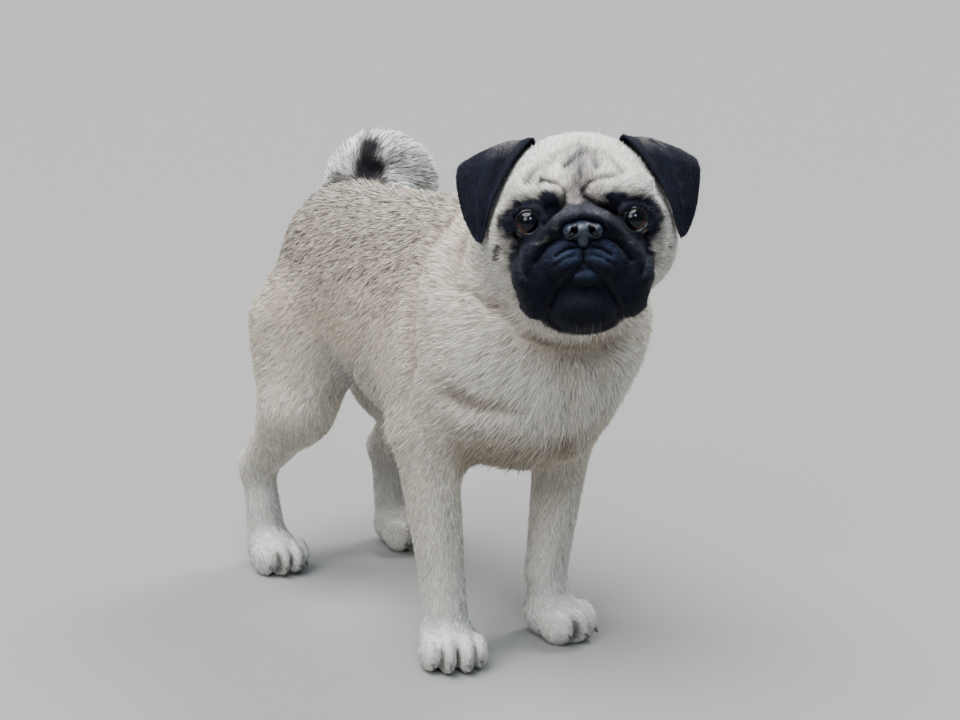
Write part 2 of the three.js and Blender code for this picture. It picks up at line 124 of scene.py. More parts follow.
# A yaw about Z, then a pitch about X and a roll about Y, in degrees.
def turn_of(yaw=0, pitch=0, roll=0):
    angles = ((yaw, "Z"), (pitch, "X"), (roll, "Y"))
    first, second, third = [Matrix.Rotation(math.radians(angle), 3, axis) for angle, axis in angles]
    return np.array(first @ second @ third)


def mirrored(p):
    return np.stack([np.abs(p[:, 0]), p[:, 1], p[:, 2]], -1)


# Distances: each gives how far the rows of p lie outside a form.

def ball(p, centre, radii, turn=None):
    q = p - np.array(centre, float)
    if turn is not None:
        q = q @ turn
    radii = np.array(radii, float)
    reach = length(q / radii)
    return reach * (reach - 1) / np.maximum(length(q / radii**2), TINY)


def bone(p, a, b, ra, rb):
    a, b = np.array(a, float), np.array(b, float)
    along = b - a
    t = np.clip((p - a) @ along / (along @ along), 0, 1)
    return length(p - a - t[:, None] * along) - (ra + (rb - ra) * t)


def chain(p, places, radii):
    bones = [bone(p, *pair) for pair in zip(places, places[1:], radii, radii[1:])]
    return np.minimum.reduce(bones)


def joined(soft, first, *others):
    for other in others:
        h = np.maximum(soft - np.abs(first - other), 0)
        first = np.minimum(first, other) - h * h / (4 * soft)
    return first


def without(soft, form, hollow):
    return -joined(soft, -form, hollow)


# A form worked out only for the places within reach of its middle, and merely far off elsewhere.
def near(form, p, middle, reach, margin=8):
    d = length(p - middle) - reach + margin
    inside = d < margin
    d[inside] = form(p[inside])
    return d


# A furrow takes the face down along places [x, z] seen from its front, or up where it is negative.
FACE_FRONT = -28
FACE_FADE = 12


def furrow(p, line, width, depth):
    flat = p * (1, 0, 1)
    places = [(x, 0, z) for x, z in line]
    off = chain(flat, places, [0] * len(places)) / width
    front = smoothstep(FACE_FRONT + FACE_FADE - p[:, 1], 0, FACE_FADE)
    return depth * front * np.exp(-off * off)


# Head.
HEAD_AT = np.array([-8, -57.4, 104])
HEAD_TURN = turn_of(-41, -9, -4)
HEAD_SCALE = HEAD_UNIT / BODY_UNIT
EYE_AT = np.array([25.8, -28.5, 0])
EYE_YAW = 6
EYE_RADIUS = 0.0115 / HEAD_UNIT


def to_head(p):
    return (p - HEAD_AT) @ HEAD_TURN / HEAD_SCALE


def from_head(p):
    return p * HEAD_SCALE @ HEAD_TURN.T + HEAD_AT


def head_bulk(p, m):
    skull = ball(p, [0, 8, 12], [42, 42, 34])
    cheek = ball(m, [27, 0, -10], [23.5, 30, 27])
    throat = ball(p, [0, -4, -34], [30, 30, 25])
    brow = ball(m, [19, -22, 16], [18, 14, 12])
    orbit = ball(m, [27, -19, 0], [15, 14.5, 13])
    muzzle = ball(p, [0, -29, -20], [28, 20, 22])
    cushion = ball(p, [0, -37.5, -6], [17, 13.5, 12])
    upper_lip = ball(m, [9, -41, -20], [12, 12.5, 10])
    flew = ball(m, [23, -31, -30], [11.5, 17, 18])
    jaw = ball(p, [0, -33, -42], [19, 18, 13])
    ear_base = ball(m, [44, 15, 19], [10, 8, 12])
    bulk = joined(14, skull, cheek, throat)
    bulk = joined(5, bulk, ear_base)
    return joined(6, bulk, brow, orbit, muzzle, cushion, upper_lip, flew, jaw)


# The lids are a ring in front of each eye. Their measures are shares of the eye's radius.
LID_OPENING, LID_TALLNESS = 0.82, 0.74 / 0.82
LID_FRONT, LID_ROLL = 0.6, 0.22


def eye_lids(m):
    q = (m - EYE_AT) @ turn_of(EYE_YAW)
    around = length(np.stack([q[:, 0], q[:, 2] / LID_TALLNESS], -1)) - LID_OPENING * EYE_RADIUS
    return length(np.stack([around, q[:, 1] + LID_FRONT * EYE_RADIUS], -1)) - LID_ROLL * EYE_RADIUS


# Creases and rolls of both sides of the face: places [x, z], width and depth.
PAIRED_FURROWS = [
    ([(0, 5), (11, 1), (20, -7), (28, -17), (31, -27)], 4, -3.8),
    ([(0, -20), (6, -23.5), (10.5, -29), (14, -35), (17.5, -42), (19, -49)], 1.2, 1.9),
    ([(0, -9), (0, -19)], 0.9, 2.2),
    ([(3.5, -12.5), (8, -13.5), (13, -16.5)], 1.0, 1.7),
    ([(7, -8), (12, -8.5), (17, -11.5), (23, -19)], 1.3, 1.8),
    ([(4, -16), (9, -17.5), (14, -21)], 1.0, 0.9),
    ([(31, -6), (30.5, -16), (28, -26)], 1.6, 1.6),
    ([(42, 2), (39, -12), (36, -28), (33, -38)], 2.4, 2.0),
    ([(36, -6), (32, -15), (29, -24)], 1.6, 1.3),
    ([(21, 7), (14, 11), (9, 16)], 3.2, -1.4),
    ([(39, 8), (33, 13), (25, 16.5)], 2.4, -0.9),
    ([(0, -47), (0, -54)], 1.6, 0.8),
]
# Creases of one side only, as this animal has them.
SINGLE_FURROWS = [
    ([(-19, 20), (-11, 18), (-8, 14), (-8, 9), (-12, 4), (-18, -1.4)], 1.3, 2.2),
    ([(2, 11.5), (5.4, 9.5), (12, 6), (19, 1.6)], 1.4, 2.6),
    ([(1, 14), (4, 18), (10.5, 20.5), (17, 20.8)], 1.3, 1.6),
    ([(0, 40), (3.5, 34.5), (-1.3, 31), (-7, 27)], 1.7, 2.2),
    ([(3.5, 34.5), (7, 31), (8, 26)], 1.6, 1.7),
    ([(-7.5, 35), (-16, 31), (-22, 25), (-26, 19)], 2.2, 2.5),
    ([(-1, 26), (0, 18), (1, 12)], 3.0, 0.8),
    ([(9, 35), (16, 30), (20, 23)], 2.2, 2.0),
    ([(17, 37), (25, 31), (31, 23)], 2.4, 1.4),
    ([(-13, 30), (-17, 23), (-20, 18)], 1.8, 1.2),
]
FACE_DETAIL = 8
NOSE_REACH = 18


def face_creases(p):
    m = mirrored(p)
    paired = sum(furrow(m, *crease) for crease in PAIRED_FURROWS)
    return paired + sum(furrow(p, *crease) for crease in SINGLE_FURROWS)


# The lower jaw lies back between the hanging upper lips, whose half width grows with the drop.
MOUTH_DROPS = [20, 23.5, 29, 35, 42, 49]
MOUTH_HALF_WIDTHS = [0, 6, 10.5, 14, 17.5, 19]
JAW_SET_BACK = 2.0
JAW_FADE_IN, JAW_FADE_OUT = (20, 25), (44, 58)


def jaw_recess(p):
    drop = -p[:, 2]
    half_width = np.interp(drop, MOUTH_DROPS, MOUTH_HALF_WIDTHS)
    between = smoothstep(half_width - np.abs(p[:, 0]), -0.5, 2)
    fade = smoothstep(drop, *JAW_FADE_IN) * (1 - smoothstep(drop, *JAW_FADE_OUT))
    return JAW_SET_BACK * between * fade


def head(p):
    m = mirrored(p)
    d = joined(1.5, head_bulk(p, m), near(eye_lids, m, EYE_AT, 2 * EYE_RADIUS))
    front = (np.abs(d) < FACE_DETAIL) & (p[:, 1] < FACE_FRONT + FACE_FADE)
    d[front] += face_creases(p[front]) + jaw_recess(p[front])
    lower_lip = ball(p, [0.8, -46.5, -27], [6.2, 6, 4])
    d = joined(1.5, d, lower_lip)
    d = without(0.6, d, near(nose, p, NOSE_AT, NOSE_REACH) - SEAT_GAP)
    return without(0.5, d, ball(m, EYE_AT, [EYE_RADIUS + SEAT_GAP] * 3))


NOSE_AT = np.array([0, -47, -4.4])
SEAT_GAP = 0.3


def nose(p):
    m = mirrored(p)
    middle = ball(p, [0, -48.4, -4.4], [7.6, 7.4, 5])
    wing = ball(m, [5.8, -49.4, -4.8], [4.1, 5.6, 4])
    foot = ball(p, [0, -49, -9.4], [3.2, 4.8, 3.6])
    crease = bone(m, [0, -57.2, -3.5], [0, -54.6, -12], 0.5, 0.5)
    return without(1.0, without(0.6, joined(1, middle, wing, foot), nostril(m)), crease)


# A nostril opens inwards beside the middle and runs out under the wing, like a comma.
NOSTRIL_LINE = [(3.9, -54.4, -1.4), (4.5, -54.8, -4.8), (6.2, -53.2, -6.8), (9.2, -50.8, -7)]


def nostril(m):
    hole = bone(m, [4.5, -58.4, -4.4], [3.6, -47.4, -4.4], 1.7, 0.9)
    comma = chain(m, NOSTRIL_LINE, [1.0, 1.6, 1.2, 0.8])
    return joined(0.5, hole, comma)


# Trunk, neck and legs.
def trunk(p):
    m = mirrored(p)
    ribs = ball(p, [-1, -12, 71], [24, 36, 29])
    loin = ball(p, [0, 18, 75], [21, 34, 22])
    forechest = ball(p, [-2, -38, 66], [21, 19, 22])
    croup = ball(p, [0, 35, 75], [15, 17, 20])
    spine = bone(p, [0, -24, 86], [0, 34, 86], 14, 13)
    shoulder = ball(m, [20, -28, 68], [11, 15, 24], turn_of(0, 12))
    haunch = ball(m, [13.5, 38, 56], [9.5, 15, 20], turn_of(0, 10))
    nape = bone(p, [-1, -28, 82], [-5, -48, 98], 21, 17)
    ruff = ball(p, [3, -40, 78], [23.5, 16.5, 18])
    bulk = joined(12, ribs, loin, forechest, croup)
    return joined(10, bulk, spine, shoulder, haunch, nape, ruff)


# Folds of the loose skin: those of the shoulders and flanks as places [y, z] seen from a side, and
# those of the throat and breast as places [x, z] seen from the front, each with a width and depth.
FLANK_FOLD = ([(4, 62), (16, 54), (22, 49)], 2.2, 1.5)
SIDE_FOLDS = {
    RIGHT: [
        ([(-20, 104), (-22, 97), (-23, 91), (-27, 82), (-30, 70), (-29, 62)], 1.6, 1.9),
        ([(-33, 102), (-34.5, 95), (-36, 89), (-41, 82)], 1.6, 1.9),
        ([(-27, 103), (-29, 95), (-31, 88), (-35, 78)], 2.6, -1.7),
        FLANK_FOLD,
    ],
    LEFT: [
        ([(-19, 104), (-22, 95), (-26, 86), (-31, 74)], 1.8, 1.3),
        ([(-34, 101), (-36, 94), (-40, 86)], 1.8, 1.3),
        ([(-27, 103), (-30, 94), (-35, 82)], 2.6, -1.5),
        FLANK_FOLD,
    ],
}
FRONT_FOLDS = [
    ([(-31, 69), (-27, 64.5), (-22, 62), (-15, 61.5)], 2.2, 1.4),
    ([(-18, 79), (-12, 76.5), (-4, 75), (4, 76), (9, 78.5)], 2.2, 1.7),
    ([(-24, 88), (-21, 84), (-18, 80)], 1.7, 1.2),
    ([(-9, 74), (-6, 64), (-5, 56)], 2.4, 0.8),
]
FOLD_REACH = 4
FRONT_OF_CHEST = -40
SIDE_START, SIDE_END = 4, 11


# A fold is full along its middle and fades out at its ends.
def fold(flat, places, width, depth):
    off = chain(flat, places, [-width, *[0] * (len(places) - 2), -width]) / width
    return depth * np.exp(-off * off)


def body_folds(p):
    sunk = np.zeros(len(p))
    for side, folds in SIDE_FOLDS.items():
        there = smoothstep(side * p[:, 0], SIDE_START, SIDE_END)
        for line, width, depth in folds:
            sunk += there * fold(p * (0, 1, 1), [(0, y, z) for y, z in line], width, depth)
    there = 1 - smoothstep(p[:, 1], FRONT_OF_CHEST, FRONT_OF_CHEST + 6)
    for line, width, depth in FRONT_FOLDS:
        sunk += there * fold(p * (1, 0, 1), [(x, 0, z) for x, z in line], width, depth)
    return sunk


PAW_HEIGHT = 4.8
FORELEGS = {
    "right": dict(elbow=[-23, -26, 52], wrist=[-21.5, -33, 15], paw=[-21.7, -35.5], yaw=-24),
    "left": dict(elbow=[17, -29, 52], wrist=[9.6, -32.5, 15], paw=[10.4, -35.5], yaw=18),
}
HINDLEGS = {
    "right": dict(hip=[-14, 38, 64], stifle=[-18.5, 32, 44], hock=[-19, 48, 26], paw=[-18, 41.5], yaw=-4),
    "left": dict(hip=[14, 38, 64], stifle=[19.5, 30, 44], hock=[20.5, 46, 26], paw=[21, 39], yaw=8),
}
HIND_PAW_SIZE = 0.9
PAWS = [(leg["paw"], leg["yaw"], 1) for leg in FORELEGS.values()]
PAWS += [(leg["paw"], leg["yaw"], HIND_PAW_SIZE) for leg in HINDLEGS.values()]
PAW_REACH = 22


def to_paw(p, at, yaw):
    return (p - (*at, PAW_HEIGHT)) @ turn_of(yaw)


def paw_form(p, at, yaw, size):
    def form(p):
        q = to_paw(p, at, yaw)
        m = mirrored(q)
        middle = ball(q, [0, 0, 0], [6.4 * size, 7.5, 5.4])
        inner = ball(m, [2.2 * size, -5.6, -0.5], [2.3, 4.8, 4.4])
        outer = ball(m, [5.6 * size, -3.6, -0.8], [2.3, 4.4, 4.1])
        return joined(0.8, middle, inner, outer)

    return near(form, p, (*at, PAW_HEIGHT), PAW_REACH)


def foreleg(p, elbow, wrist, paw, yaw):
    ankle = [paw[0], paw[1] + 1.5, PAW_HEIGHT + 1.5]
    return joined(3, chain(p, [elbow, wrist, ankle], [7.8, 5.3, 5.1]), paw_form(p, paw, yaw, 1))


def hindleg(p, hip, stifle, hock, paw, yaw):
    heel = [paw[0], paw[1] + 3, PAW_HEIGHT + 1.5]
    thigh = joined(5, bone(p, hip, stifle, 12.5, 8.6), bone(p, stifle, hock, 8.6, 5))
    return joined(3, thigh, bone(p, hock, heel, 4.6, 4.8), paw_form(p, paw, yaw, HIND_PAW_SIZE))


LEG_MIDDLE, LEG_REACH = 30, 58


def legs(p):
    forms = []
    for form, legs_of in ((foreleg, FORELEGS), (hindleg, HINDLEGS)):
        for leg in legs_of.values():
            forms.append(near(lambda q: form(q, **leg), p, (*leg["paw"], LEG_MIDDLE), LEG_REACH))
    return np.minimum.reduce(forms)


# Tail.
TAIL_MIDDLE = np.array([7, 32, 98.5])
TAIL_FRONT = np.array([0.45, -0.89, 0])
TAIL_SIDE = np.array([0.89, 0.45, 0])
TAIL_FROM, TAIL_TO = 206, -40
TAIL_RADIUS, TAIL_TIP_RADIUS = 8.8, 7.6
TAIL_DRIFT = 7
TAIL_THICKNESS, TAIL_TIP_THICKNESS = 7.8, 4.6
TAIL_STEPS = 30
TAIL_END = 0.97
TAIL_HOLLOW = np.array([-1, 29.5, 101])
UP = np.array([0, 0, 1])


def tail_line(t):
    t = np.asarray(t, float)[:, None]
    angle = np.radians(TAIL_FROM + (TAIL_TO - TAIL_FROM) * t)
    radius = TAIL_RADIUS + (TAIL_TIP_RADIUS - TAIL_RADIUS) * t
    round_curl = TAIL_FRONT * np.cos(angle) + UP * np.sin(angle)
    return TAIL_MIDDLE + radius * round_curl + TAIL_SIDE * TAIL_DRIFT * t * t


def tail(p):
    places = tail_line(np.linspace(0, TAIL_END, TAIL_STEPS))
    radii = np.linspace(TAIL_THICKNESS, TAIL_TIP_THICKNESS, TAIL_STEPS)
    curl = joined(3, chain(p, places, radii), ball(p, TAIL_MIDDLE, [TAIL_RADIUS] * 3))
    return without(3, curl, ball(p, TAIL_HOLLOW, [3.5, 3.5, 4]))


HEAD_EXTENT = 40
TAIL_EXTENT = 30


def head_on_body(p):
    return head(to_head(p)) * HEAD_SCALE


def flesh(p):
    body = joined(6, trunk(p), legs(p))
    loose = np.abs(body) < FOLD_REACH
    body[loose] += body_folds(p[loose])
    body = joined(6, body, near(head_on_body, p, HEAD_AT, HEAD_EXTENT))
    return joined(4, body, near(tail, p, TAIL_MIDDLE, TAIL_EXTENT))


# Skin. The field is sampled on an even grid that is drawn together round the head, so that the face
# has the finer faces.
GRID_CELL = 1.24
HEAD_FINENESS = 0.27
HEAD_REACH = 62
HEAD_SOFTNESS = 12
HEAD_MIDDLE = from_head(np.array([0, -28, -6]))
SKIN_LOW, SKIN_HIGH = np.array([-36, -82, -2]), np.array([36, 60, 126])
GRID_RADII = np.linspace(0, 400, 4001)
# The field is first sampled once in each block of cells, and then in full in the blocks near the surface.
BLOCK = 4
NEAR_SURFACE = 1.1 * BLOCK
BLOCKS_AT_ONCE = 4000


def drawn_together(r):
    soft = HEAD_SOFTNESS * np.logaddexp(0, (r - HEAD_REACH) / HEAD_SOFTNESS)
    return HEAD_FINENESS * r + (1 - HEAD_FINENESS) * soft


def from_grid(g):
    r = np.maximum(length(g), 1e-6)
    return HEAD_MIDDLE + g * (drawn_together(r) / r)[:, None]


# How far the grid has to reach from the head's middle to hold the skin.
def grid_extent():
    real = drawn_together(GRID_RADII)
    low = -np.interp(HEAD_MIDDLE - SKIN_LOW, real, GRID_RADII)
    return low, np.interp(SKIN_HIGH - HEAD_MIDDLE, real, GRID_RADII)


def sampled(field, low, high, cell):
    count = np.ceil((high - low) / (cell * BLOCK)).astype(int) * BLOCK + 1
    axes = [low[i] + cell * np.arange(count[i]) for i in range(3)]
    coarse = np.stack(np.meshgrid(*[a[::BLOCK] for a in axes], indexing="ij"), -1)
    values = field(coarse.reshape(-1, 3)).reshape(coarse.shape[:-1])
    close = np.abs(values) < cell * NEAR_SURFACE
    blocks = np.zeros([n - 1 for n in values.shape], bool)
    for x, y, z in np.ndindex(2, 2, 2):
        blocks |= close[x:x + blocks.shape[0], y:y + blocks.shape[1], z:z + blocks.shape[2]]
    fine = values
    for axis in range(3):
        fine = np.repeat(fine, BLOCK, axis)
    fine = fine[:count[0], :count[1], :count[2]].copy()
    steps = np.stack(np.meshgrid(*[np.arange(BLOCK + 1)] * 3, indexing="ij"), -1).reshape(-1, 3)
    corners = np.argwhere(blocks) * BLOCK
    for start in range(0, len(corners), BLOCKS_AT_ONCE):
        index = (corners[start:start + BLOCKS_AT_ONCE, None] + steps).reshape(-1, 3)
        fine[tuple(index.T)] = field(low + index * cell)
    return fine


# One vertex in each cell that the surface crosses, and one face round each edge that it crosses.
def nets(values, low, cell):
    inside = values < 0
    size = np.array(values.shape) - 1
    corners = list(np.ndindex(2, 2, 2))

    def corner(array, c):
        return array[c[0]:c[0] + size[0], c[1]:c[1] + size[1], c[2]:c[2] + size[2]]

    count = sum(corner(inside, c).astype(np.int8) for c in corners)
    cells = np.argwhere((count > 0) & (count < 8))
    number = np.full(size, -1)
    number[tuple(cells.T)] = np.arange(len(cells))
    total, crossings = np.zeros((len(cells), 3)), np.zeros(len(cells))
    for i, a in enumerate(corners):
        for b in corners[i + 1:]:
            if np.abs(np.subtract(a, b)).sum() != 1:
                continue
            va, vb = values[tuple((cells + a).T)], values[tuple((cells + b).T)]
            crossed = (va < 0) != (vb < 0)
            t = (va / np.where(crossed, va - vb, 1))[:, None]
            total[crossed] += (np.array(a) + t * np.subtract(b, a))[crossed]
            crossings[crossed] += 1
    vertices = low + (cells + total / crossings[:, None]) * cell
    quads = []
    for axis in range(3):
        first, second = (axis + 1) % 3, (axis + 2) % 3
        before = np.take(inside, range(values.shape[axis] - 1), axis)
        after = np.take(inside, range(1, values.shape[axis]), axis)
        edges = np.argwhere(before != after)
        inner = [(edges[:, k] > 0) & (edges[:, k] < size[k]) for k in (first, second)]
        edges = edges[inner[0] & inner[1]]
        outward = before[tuple(edges.T)]

        def around(one, two):
            at = edges.copy()
            at[:, first] -= one
            at[:, second] -= two
            return number[tuple(at.T)]

        quad = np.stack([around(1, 1), around(0, 1), around(0, 0), around(1, 0)], -1)
        quads.append(np.where(outward[:, None], quad, quad[:, ::-1]))
    return vertices, np.concatenate(quads)


TETRA = np.array([[1, -1, -1], [-1, -1, 1], [-1, 1, -1], [1, 1, 1]], float)


def gradient(field, p, step):
    return unit(sum(k * field(p + k * step)[:, None] for k in TETRA))


def settled(field, p, rounds=2, step=0.05):
    for _ in range(rounds):
        p = p - gradient(field, p, step) * field(p)[:, None]
    return p


# The skin lies under the outer side of the coat by the coat's depth, here in millimetres, which is
# less on the face, feet and lids.
COAT_DEPTH, THINNEST = 2.2, 0.1
LESS_ON_FACE, LESS_ON_FOOT, LESS_ON_LID = 1.5, 1.4, 0.6


def coat_depth(p):
    q = to_head(p)
    face = 1 - smoothstep(length(q - (0, -34, -8)), 30, 62)
    foot = 1 - smoothstep(p[:, 2], 8, 24)
    lid = 1 - smoothstep(length(mirrored(q) - EYE_AT), 1.1 * EYE_RADIUS, 1.8 * EYE_RADIUS)
    depth = COAT_DEPTH - LESS_ON_FACE * face - LESS_ON_FOOT * foot - LESS_ON_LID * lid
    return np.maximum(depth, THINNEST) * MM


def skin_field(p):
    return flesh(p) + coat_depth(p)


def skin_surface():
    low, high = grid_extent()
    values = sampled(lambda g: skin_field(from_grid(g)), low, high, GRID_CELL)
    vertices, quads = nets(values, low, GRID_CELL)
    places = settled(skin_field, from_grid(vertices), rounds=1)
    places[:, 2] = np.maximum(places[:, 2], FLOOR_GAP)
    return places, quads


# The frame's origin is on the floor under the middle of the solids, so an eye gives the offset.
eye_low, eye_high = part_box("eye_left")
OFFSET = np.array((eye_low + eye_high) / 2) - from_head(EYE_AT) * BODY_UNIT


def to_frame(p):
    return p * BODY_UNIT + OFFSET


def linked(name, data):
    made = bpy.data.objects.new(name, data)
    bpy.context.scene.collection.objects.link(made)
    return made


def mesh_object(name, vertices, faces):
    mesh = bpy.data.meshes.new(name)
    faces = np.asarray(faces)
    corners = faces.shape[1]
    mesh.vertices.add(len(vertices))
    mesh.vertices.foreach_set("co", to_frame(vertices).astype(np.float32).ravel())
    mesh.loops.add(faces.size)
    mesh.loops.foreach_set("vertex_index", faces.astype(np.int32).ravel())
    mesh.polygons.add(len(faces))
    mesh.polygons.foreach_set("loop_start", np.arange(0, faces.size, corners, dtype=np.int32))
    mesh.update(calc_edges=True)
    mesh.polygons.foreach_set("use_smooth", np.full(len(faces), True))
    return linked(name, mesh)


def paint(piece, colours):
    attribute = piece.data.color_attributes.new("coat", "FLOAT_COLOR", "POINT")
    rgba = np.concatenate([colours, np.ones((len(colours), 1))], 1)
    attribute.data.foreach_set("color", rgba.astype(np.float32).ravel())


# Ears: rows run from the root, up to the fold and down to the tip, and across from the inner edge.
EAR_INNER_EDGE = np.array([
    (20, 11, 32), (21, 7, 39), (23, 0, 42.5), (30, -7, 35),
    (38, -12, 23), (44, -16, 10), (48, -17, -4), (49.5, -17, -8.5),
])
EAR_OUTER_EDGE = np.array([
    (35, 20, 18), (49, 19, 25.5), (59, 13, 30.5), (62, 9, 25),
    (61, 5, 15), (58.5, -1, 4), (54.5, -9, -5), (52, -15, -8.5),
])
EAR_BULGE = 3.5
EAR_ROLL = 1.3
EAR_OUTWARD = unit(np.array([0.35, -0.5, 0.25]))
EAR_ROWS, EAR_COLUMNS = 44, 30
EAR_THICKNESS = 0.0017 / HEAD_UNIT
# The leather stands up in a roll along the inner edge, with a groove beside it: place across and width.
ROLL_AT, ROLL_WIDTH = 0.3, 0.11
GROOVE_AT, GROOVE_WIDTH, GROOVE_SHARE = 0.13, 0.06, 0.9


def curve(places, t):
    reach = np.asarray(t) * (len(places) - 1)
    i = np.minimum(reach.astype(int), len(places) - 2)
    u = (reach - i)[..., None]
    ends = [2 * places[0] - places[1], *places, 2 * places[-1] - places[-2]]
    a, b, c, d = [np.array(ends)[i + k] for k in range(4)]
    return b + u * (c - a + u * (2 * a - 5 * b + 4 * c - d + u * (3 * (b - c) + d - a))) / 2


def ear_place(u, v):
    inner, outer = curve(EAR_INNER_EDGE, u), curve(EAR_OUTER_EDGE, u)
    rise = EAR_BULGE * np.sin(np.pi * v) * np.sin(np.pi * np.minimum(1, u + 0.15))
    rolled = np.exp(-((v - ROLL_AT) / ROLL_WIDTH) ** 2)
    rolled -= GROOVE_SHARE * np.exp(-((v - GROOVE_AT) / GROOVE_WIDTH) ** 2)
    rise = rise + EAR_ROLL * rolled * np.sin(np.pi * np.clip(u, 0.02, 0.98))
    return mix(inner, outer, v) + rise[..., None] * EAR_OUTWARD


def ear_normal(u, v):
    step = 0.02
    down = ear_place(np.minimum(u + step, 1), v) - ear_place(np.maximum(u - step, 0), v)
    return unit(np.cross(down, ear_place(u, 1 + 0 * v) - ear_place(u, 0 * v)))


def ear_lattice(rows, columns):
    return np.meshgrid(np.linspace(0, 1, rows), np.linspace(0, 1, columns), indexing="ij")


def ear_surface(side):
    u, v = ear_lattice(EAR_ROWS, EAR_COLUMNS)
    middle, normal = ear_place(u, v), ear_normal(u, v)
    rim = 0.35 + 0.65 * np.sin(np.pi * v) ** 0.5 * np.sin(np.pi * np.clip(1.06 - u, 0, 0.5)) ** 0.5
    half = (EAR_THICKNESS / 2 * rim)[..., None]
    loop = np.concatenate([middle - normal * half, (middle + normal * half)[:, ::-1]], 1)
    rows, around = loop.shape[:2]
    index = np.arange(rows * around).reshape(rows, around)
    after = np.roll(index, -1, 1)
    sides = np.stack([index[:-1], index[1:], after[1:], after[:-1]], -1).reshape(-1, 4)
    caps = []
    for row, turn in ((0, 1), (rows - 1, -1)):
        strip = [index[row, k] for k in range(around)]
        quads = [[strip[k], strip[k + 1], strip[-2 - k], strip[-1 - k]] for k in range(around // 2 - 1)]
        caps += [quad[::turn] for quad in quads]
    places = loop.reshape(-1, 3) * (side, 1, 1)
    faces = np.concatenate([sides, np.array(caps)])
    return from_head(places), faces[:, ::-side]


def skin_with_ears():
    skin = mesh_object("skin", *skin_surface())
    for side in (RIGHT, LEFT):
        ear = mesh_object("ear", *ear_surface(side))
        union = skin.modifiers.new("ear", "BOOLEAN")
        union.operation = "UNION"
        union.solver = "EXACT"
        union.object = ear
        with bpy.context.temp_override(object=skin, active_object=skin):
            bpy.ops.object.modifier_apply(modifier=union.name)
        bpy.data.meshes.remove(ear.data)
    return skin


def surface_of(piece):
    mesh = piece.data
    mesh.calc_loop_triangles()
    places = np.empty(len(mesh.vertices) * 3, np.float32)
    normals = np.empty_like(places)
    triangles = np.empty(len(mesh.loop_triangles) * 3, np.int32)
    mesh.vertices.foreach_get("co", places)
    mesh.vertex_normals.foreach_get("vector", normals)
    mesh.loop_triangles.foreach_get("vertices", triangles)
    places = (places.reshape(-1, 3) - OFFSET) / BODY_UNIT
    return places, normals.reshape(-1, 3).astype(float), triangles.reshape(-1, 3)


# Camera, floor and light.
CAMERA_AZIMUTH, CAMERA_ELEVATION, CAMERA_ROLL = -40, 13, 2.2
CAMERA_TARGET = np.array([14, 0, 59.5])
CAMERA_DISTANCE = 492.3
SENSOR_WIDTH, LENS = 36, 75
CLIP_END = 50
FLOOR_SIZE = 120
FLOOR_COLOUR = (0.28, 0.277, 0.268, 1)
SKY_COLOUR, SKY_STRENGTH = (0.74, 0.87, 1.0, 1), 0.3
LIGHTS_TARGET, LIGHT_DISTANCE = Vector((0, 0, 0.2)), 2.4
# Name, kind, azimuth, elevation, size, power and colour. The size is an angle for a sun, and a width
# in metres for an area.
LIGHTS = [
    ("top", "SUN", -100, 72, 50, 6.2, (0.96, 0.98, 1.0)),
    ("key", "SUN", -72, 34, 25, 1.1, (1.0, 0.99, 0.97)),
    ("rim", "SUN", 100, 50, 20, 2.3, (1.0, 0.99, 0.96)),
    ("front", "AREA", -30, 40, 0.6, 14, (0.66, 0.83, 1.0)),
]


# The way out to an azimuth from the front and an elevation, in degrees.
def way_to(azimuth, elevation):
    a, e = math.radians(azimuth), math.radians(elevation)
    return np.array([math.sin(a) * math.cos(e), -math.cos(a) * math.cos(e), math.sin(e)])


CAMERA_BACK = way_to(CAMERA_AZIMUTH, CAMERA_ELEVATION)
CAMERA_PLACE = CAMERA_TARGET + CAMERA_BACK * CAMERA_DISTANCE


def add_camera():
    data = bpy.data.cameras.new("camera")
    data.sensor_width = SENSOR_WIDTH
    data.lens = LENS
    data.clip_end = CLIP_END
    camera = linked("camera", data)
    look = Vector(-CAMERA_BACK).to_track_quat("-Z", "Y").to_matrix()
    roll = Matrix.Rotation(math.radians(CAMERA_ROLL), 3, "Z")
    camera.matrix_world = Matrix.Translation(to_frame(CAMERA_PLACE)) @ (look @ roll).to_4x4()
    bpy.context.scene.camera = camera


def add_light(name, kind, azimuth, elevation, size, power, colour):
    data = bpy.data.lights.new(name, kind)
    data.energy = power
    data.color = colour
    if kind == "SUN":
        data.angle = math.radians(size)
    else:
        data.shape = "DISK"
        data.size = size
    light = linked(name, data)
    back = Vector(way_to(azimuth, elevation))
    light.location = LIGHTS_TARGET + back * LIGHT_DISTANCE
    light.rotation_mode = "QUATERNION"
    light.rotation_quaternion = back.to_track_quat("Z", "Y")


def add_stage():
    bpy.ops.mesh.primitive_plane_add(size=FLOOR_SIZE)
    floor = bpy.context.active_object
    floor.name = "floor"
    pale = bpy.data.materials.new("floor")
    pale.use_nodes = True
    shader = pale.node_tree.nodes["Principled BSDF"]
    shader.inputs["Base Color"].default_value = FLOOR_COLOUR
    shader.inputs["Roughness"].default_value = 1
    shader.inputs["Specular IOR Level"].default_value = 0.1
    floor.data.materials.append(pale)
    floor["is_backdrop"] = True
    world = bpy.data.worlds.new("studio")
    bpy.context.scene.world = world
    world.use_nodes = True
    sky = world.node_tree.nodes["Background"]
    sky.inputs["Color"].default_value = SKY_COLOUR
    sky.inputs["Strength"].default_value = SKY_STRENGTH
    for light in LIGHTS:
        add_light(*light)


# Markings. Colours are written as they look, in sRGB.
def colour_of(code):
    seen = np.array([int(code[i:i + 2], 16) for i in (0, 2, 4)]) / 255
    return np.where(seen < 0.04045, seen / 12.92, ((seen + 0.055) / 1.055) ** 2.4)


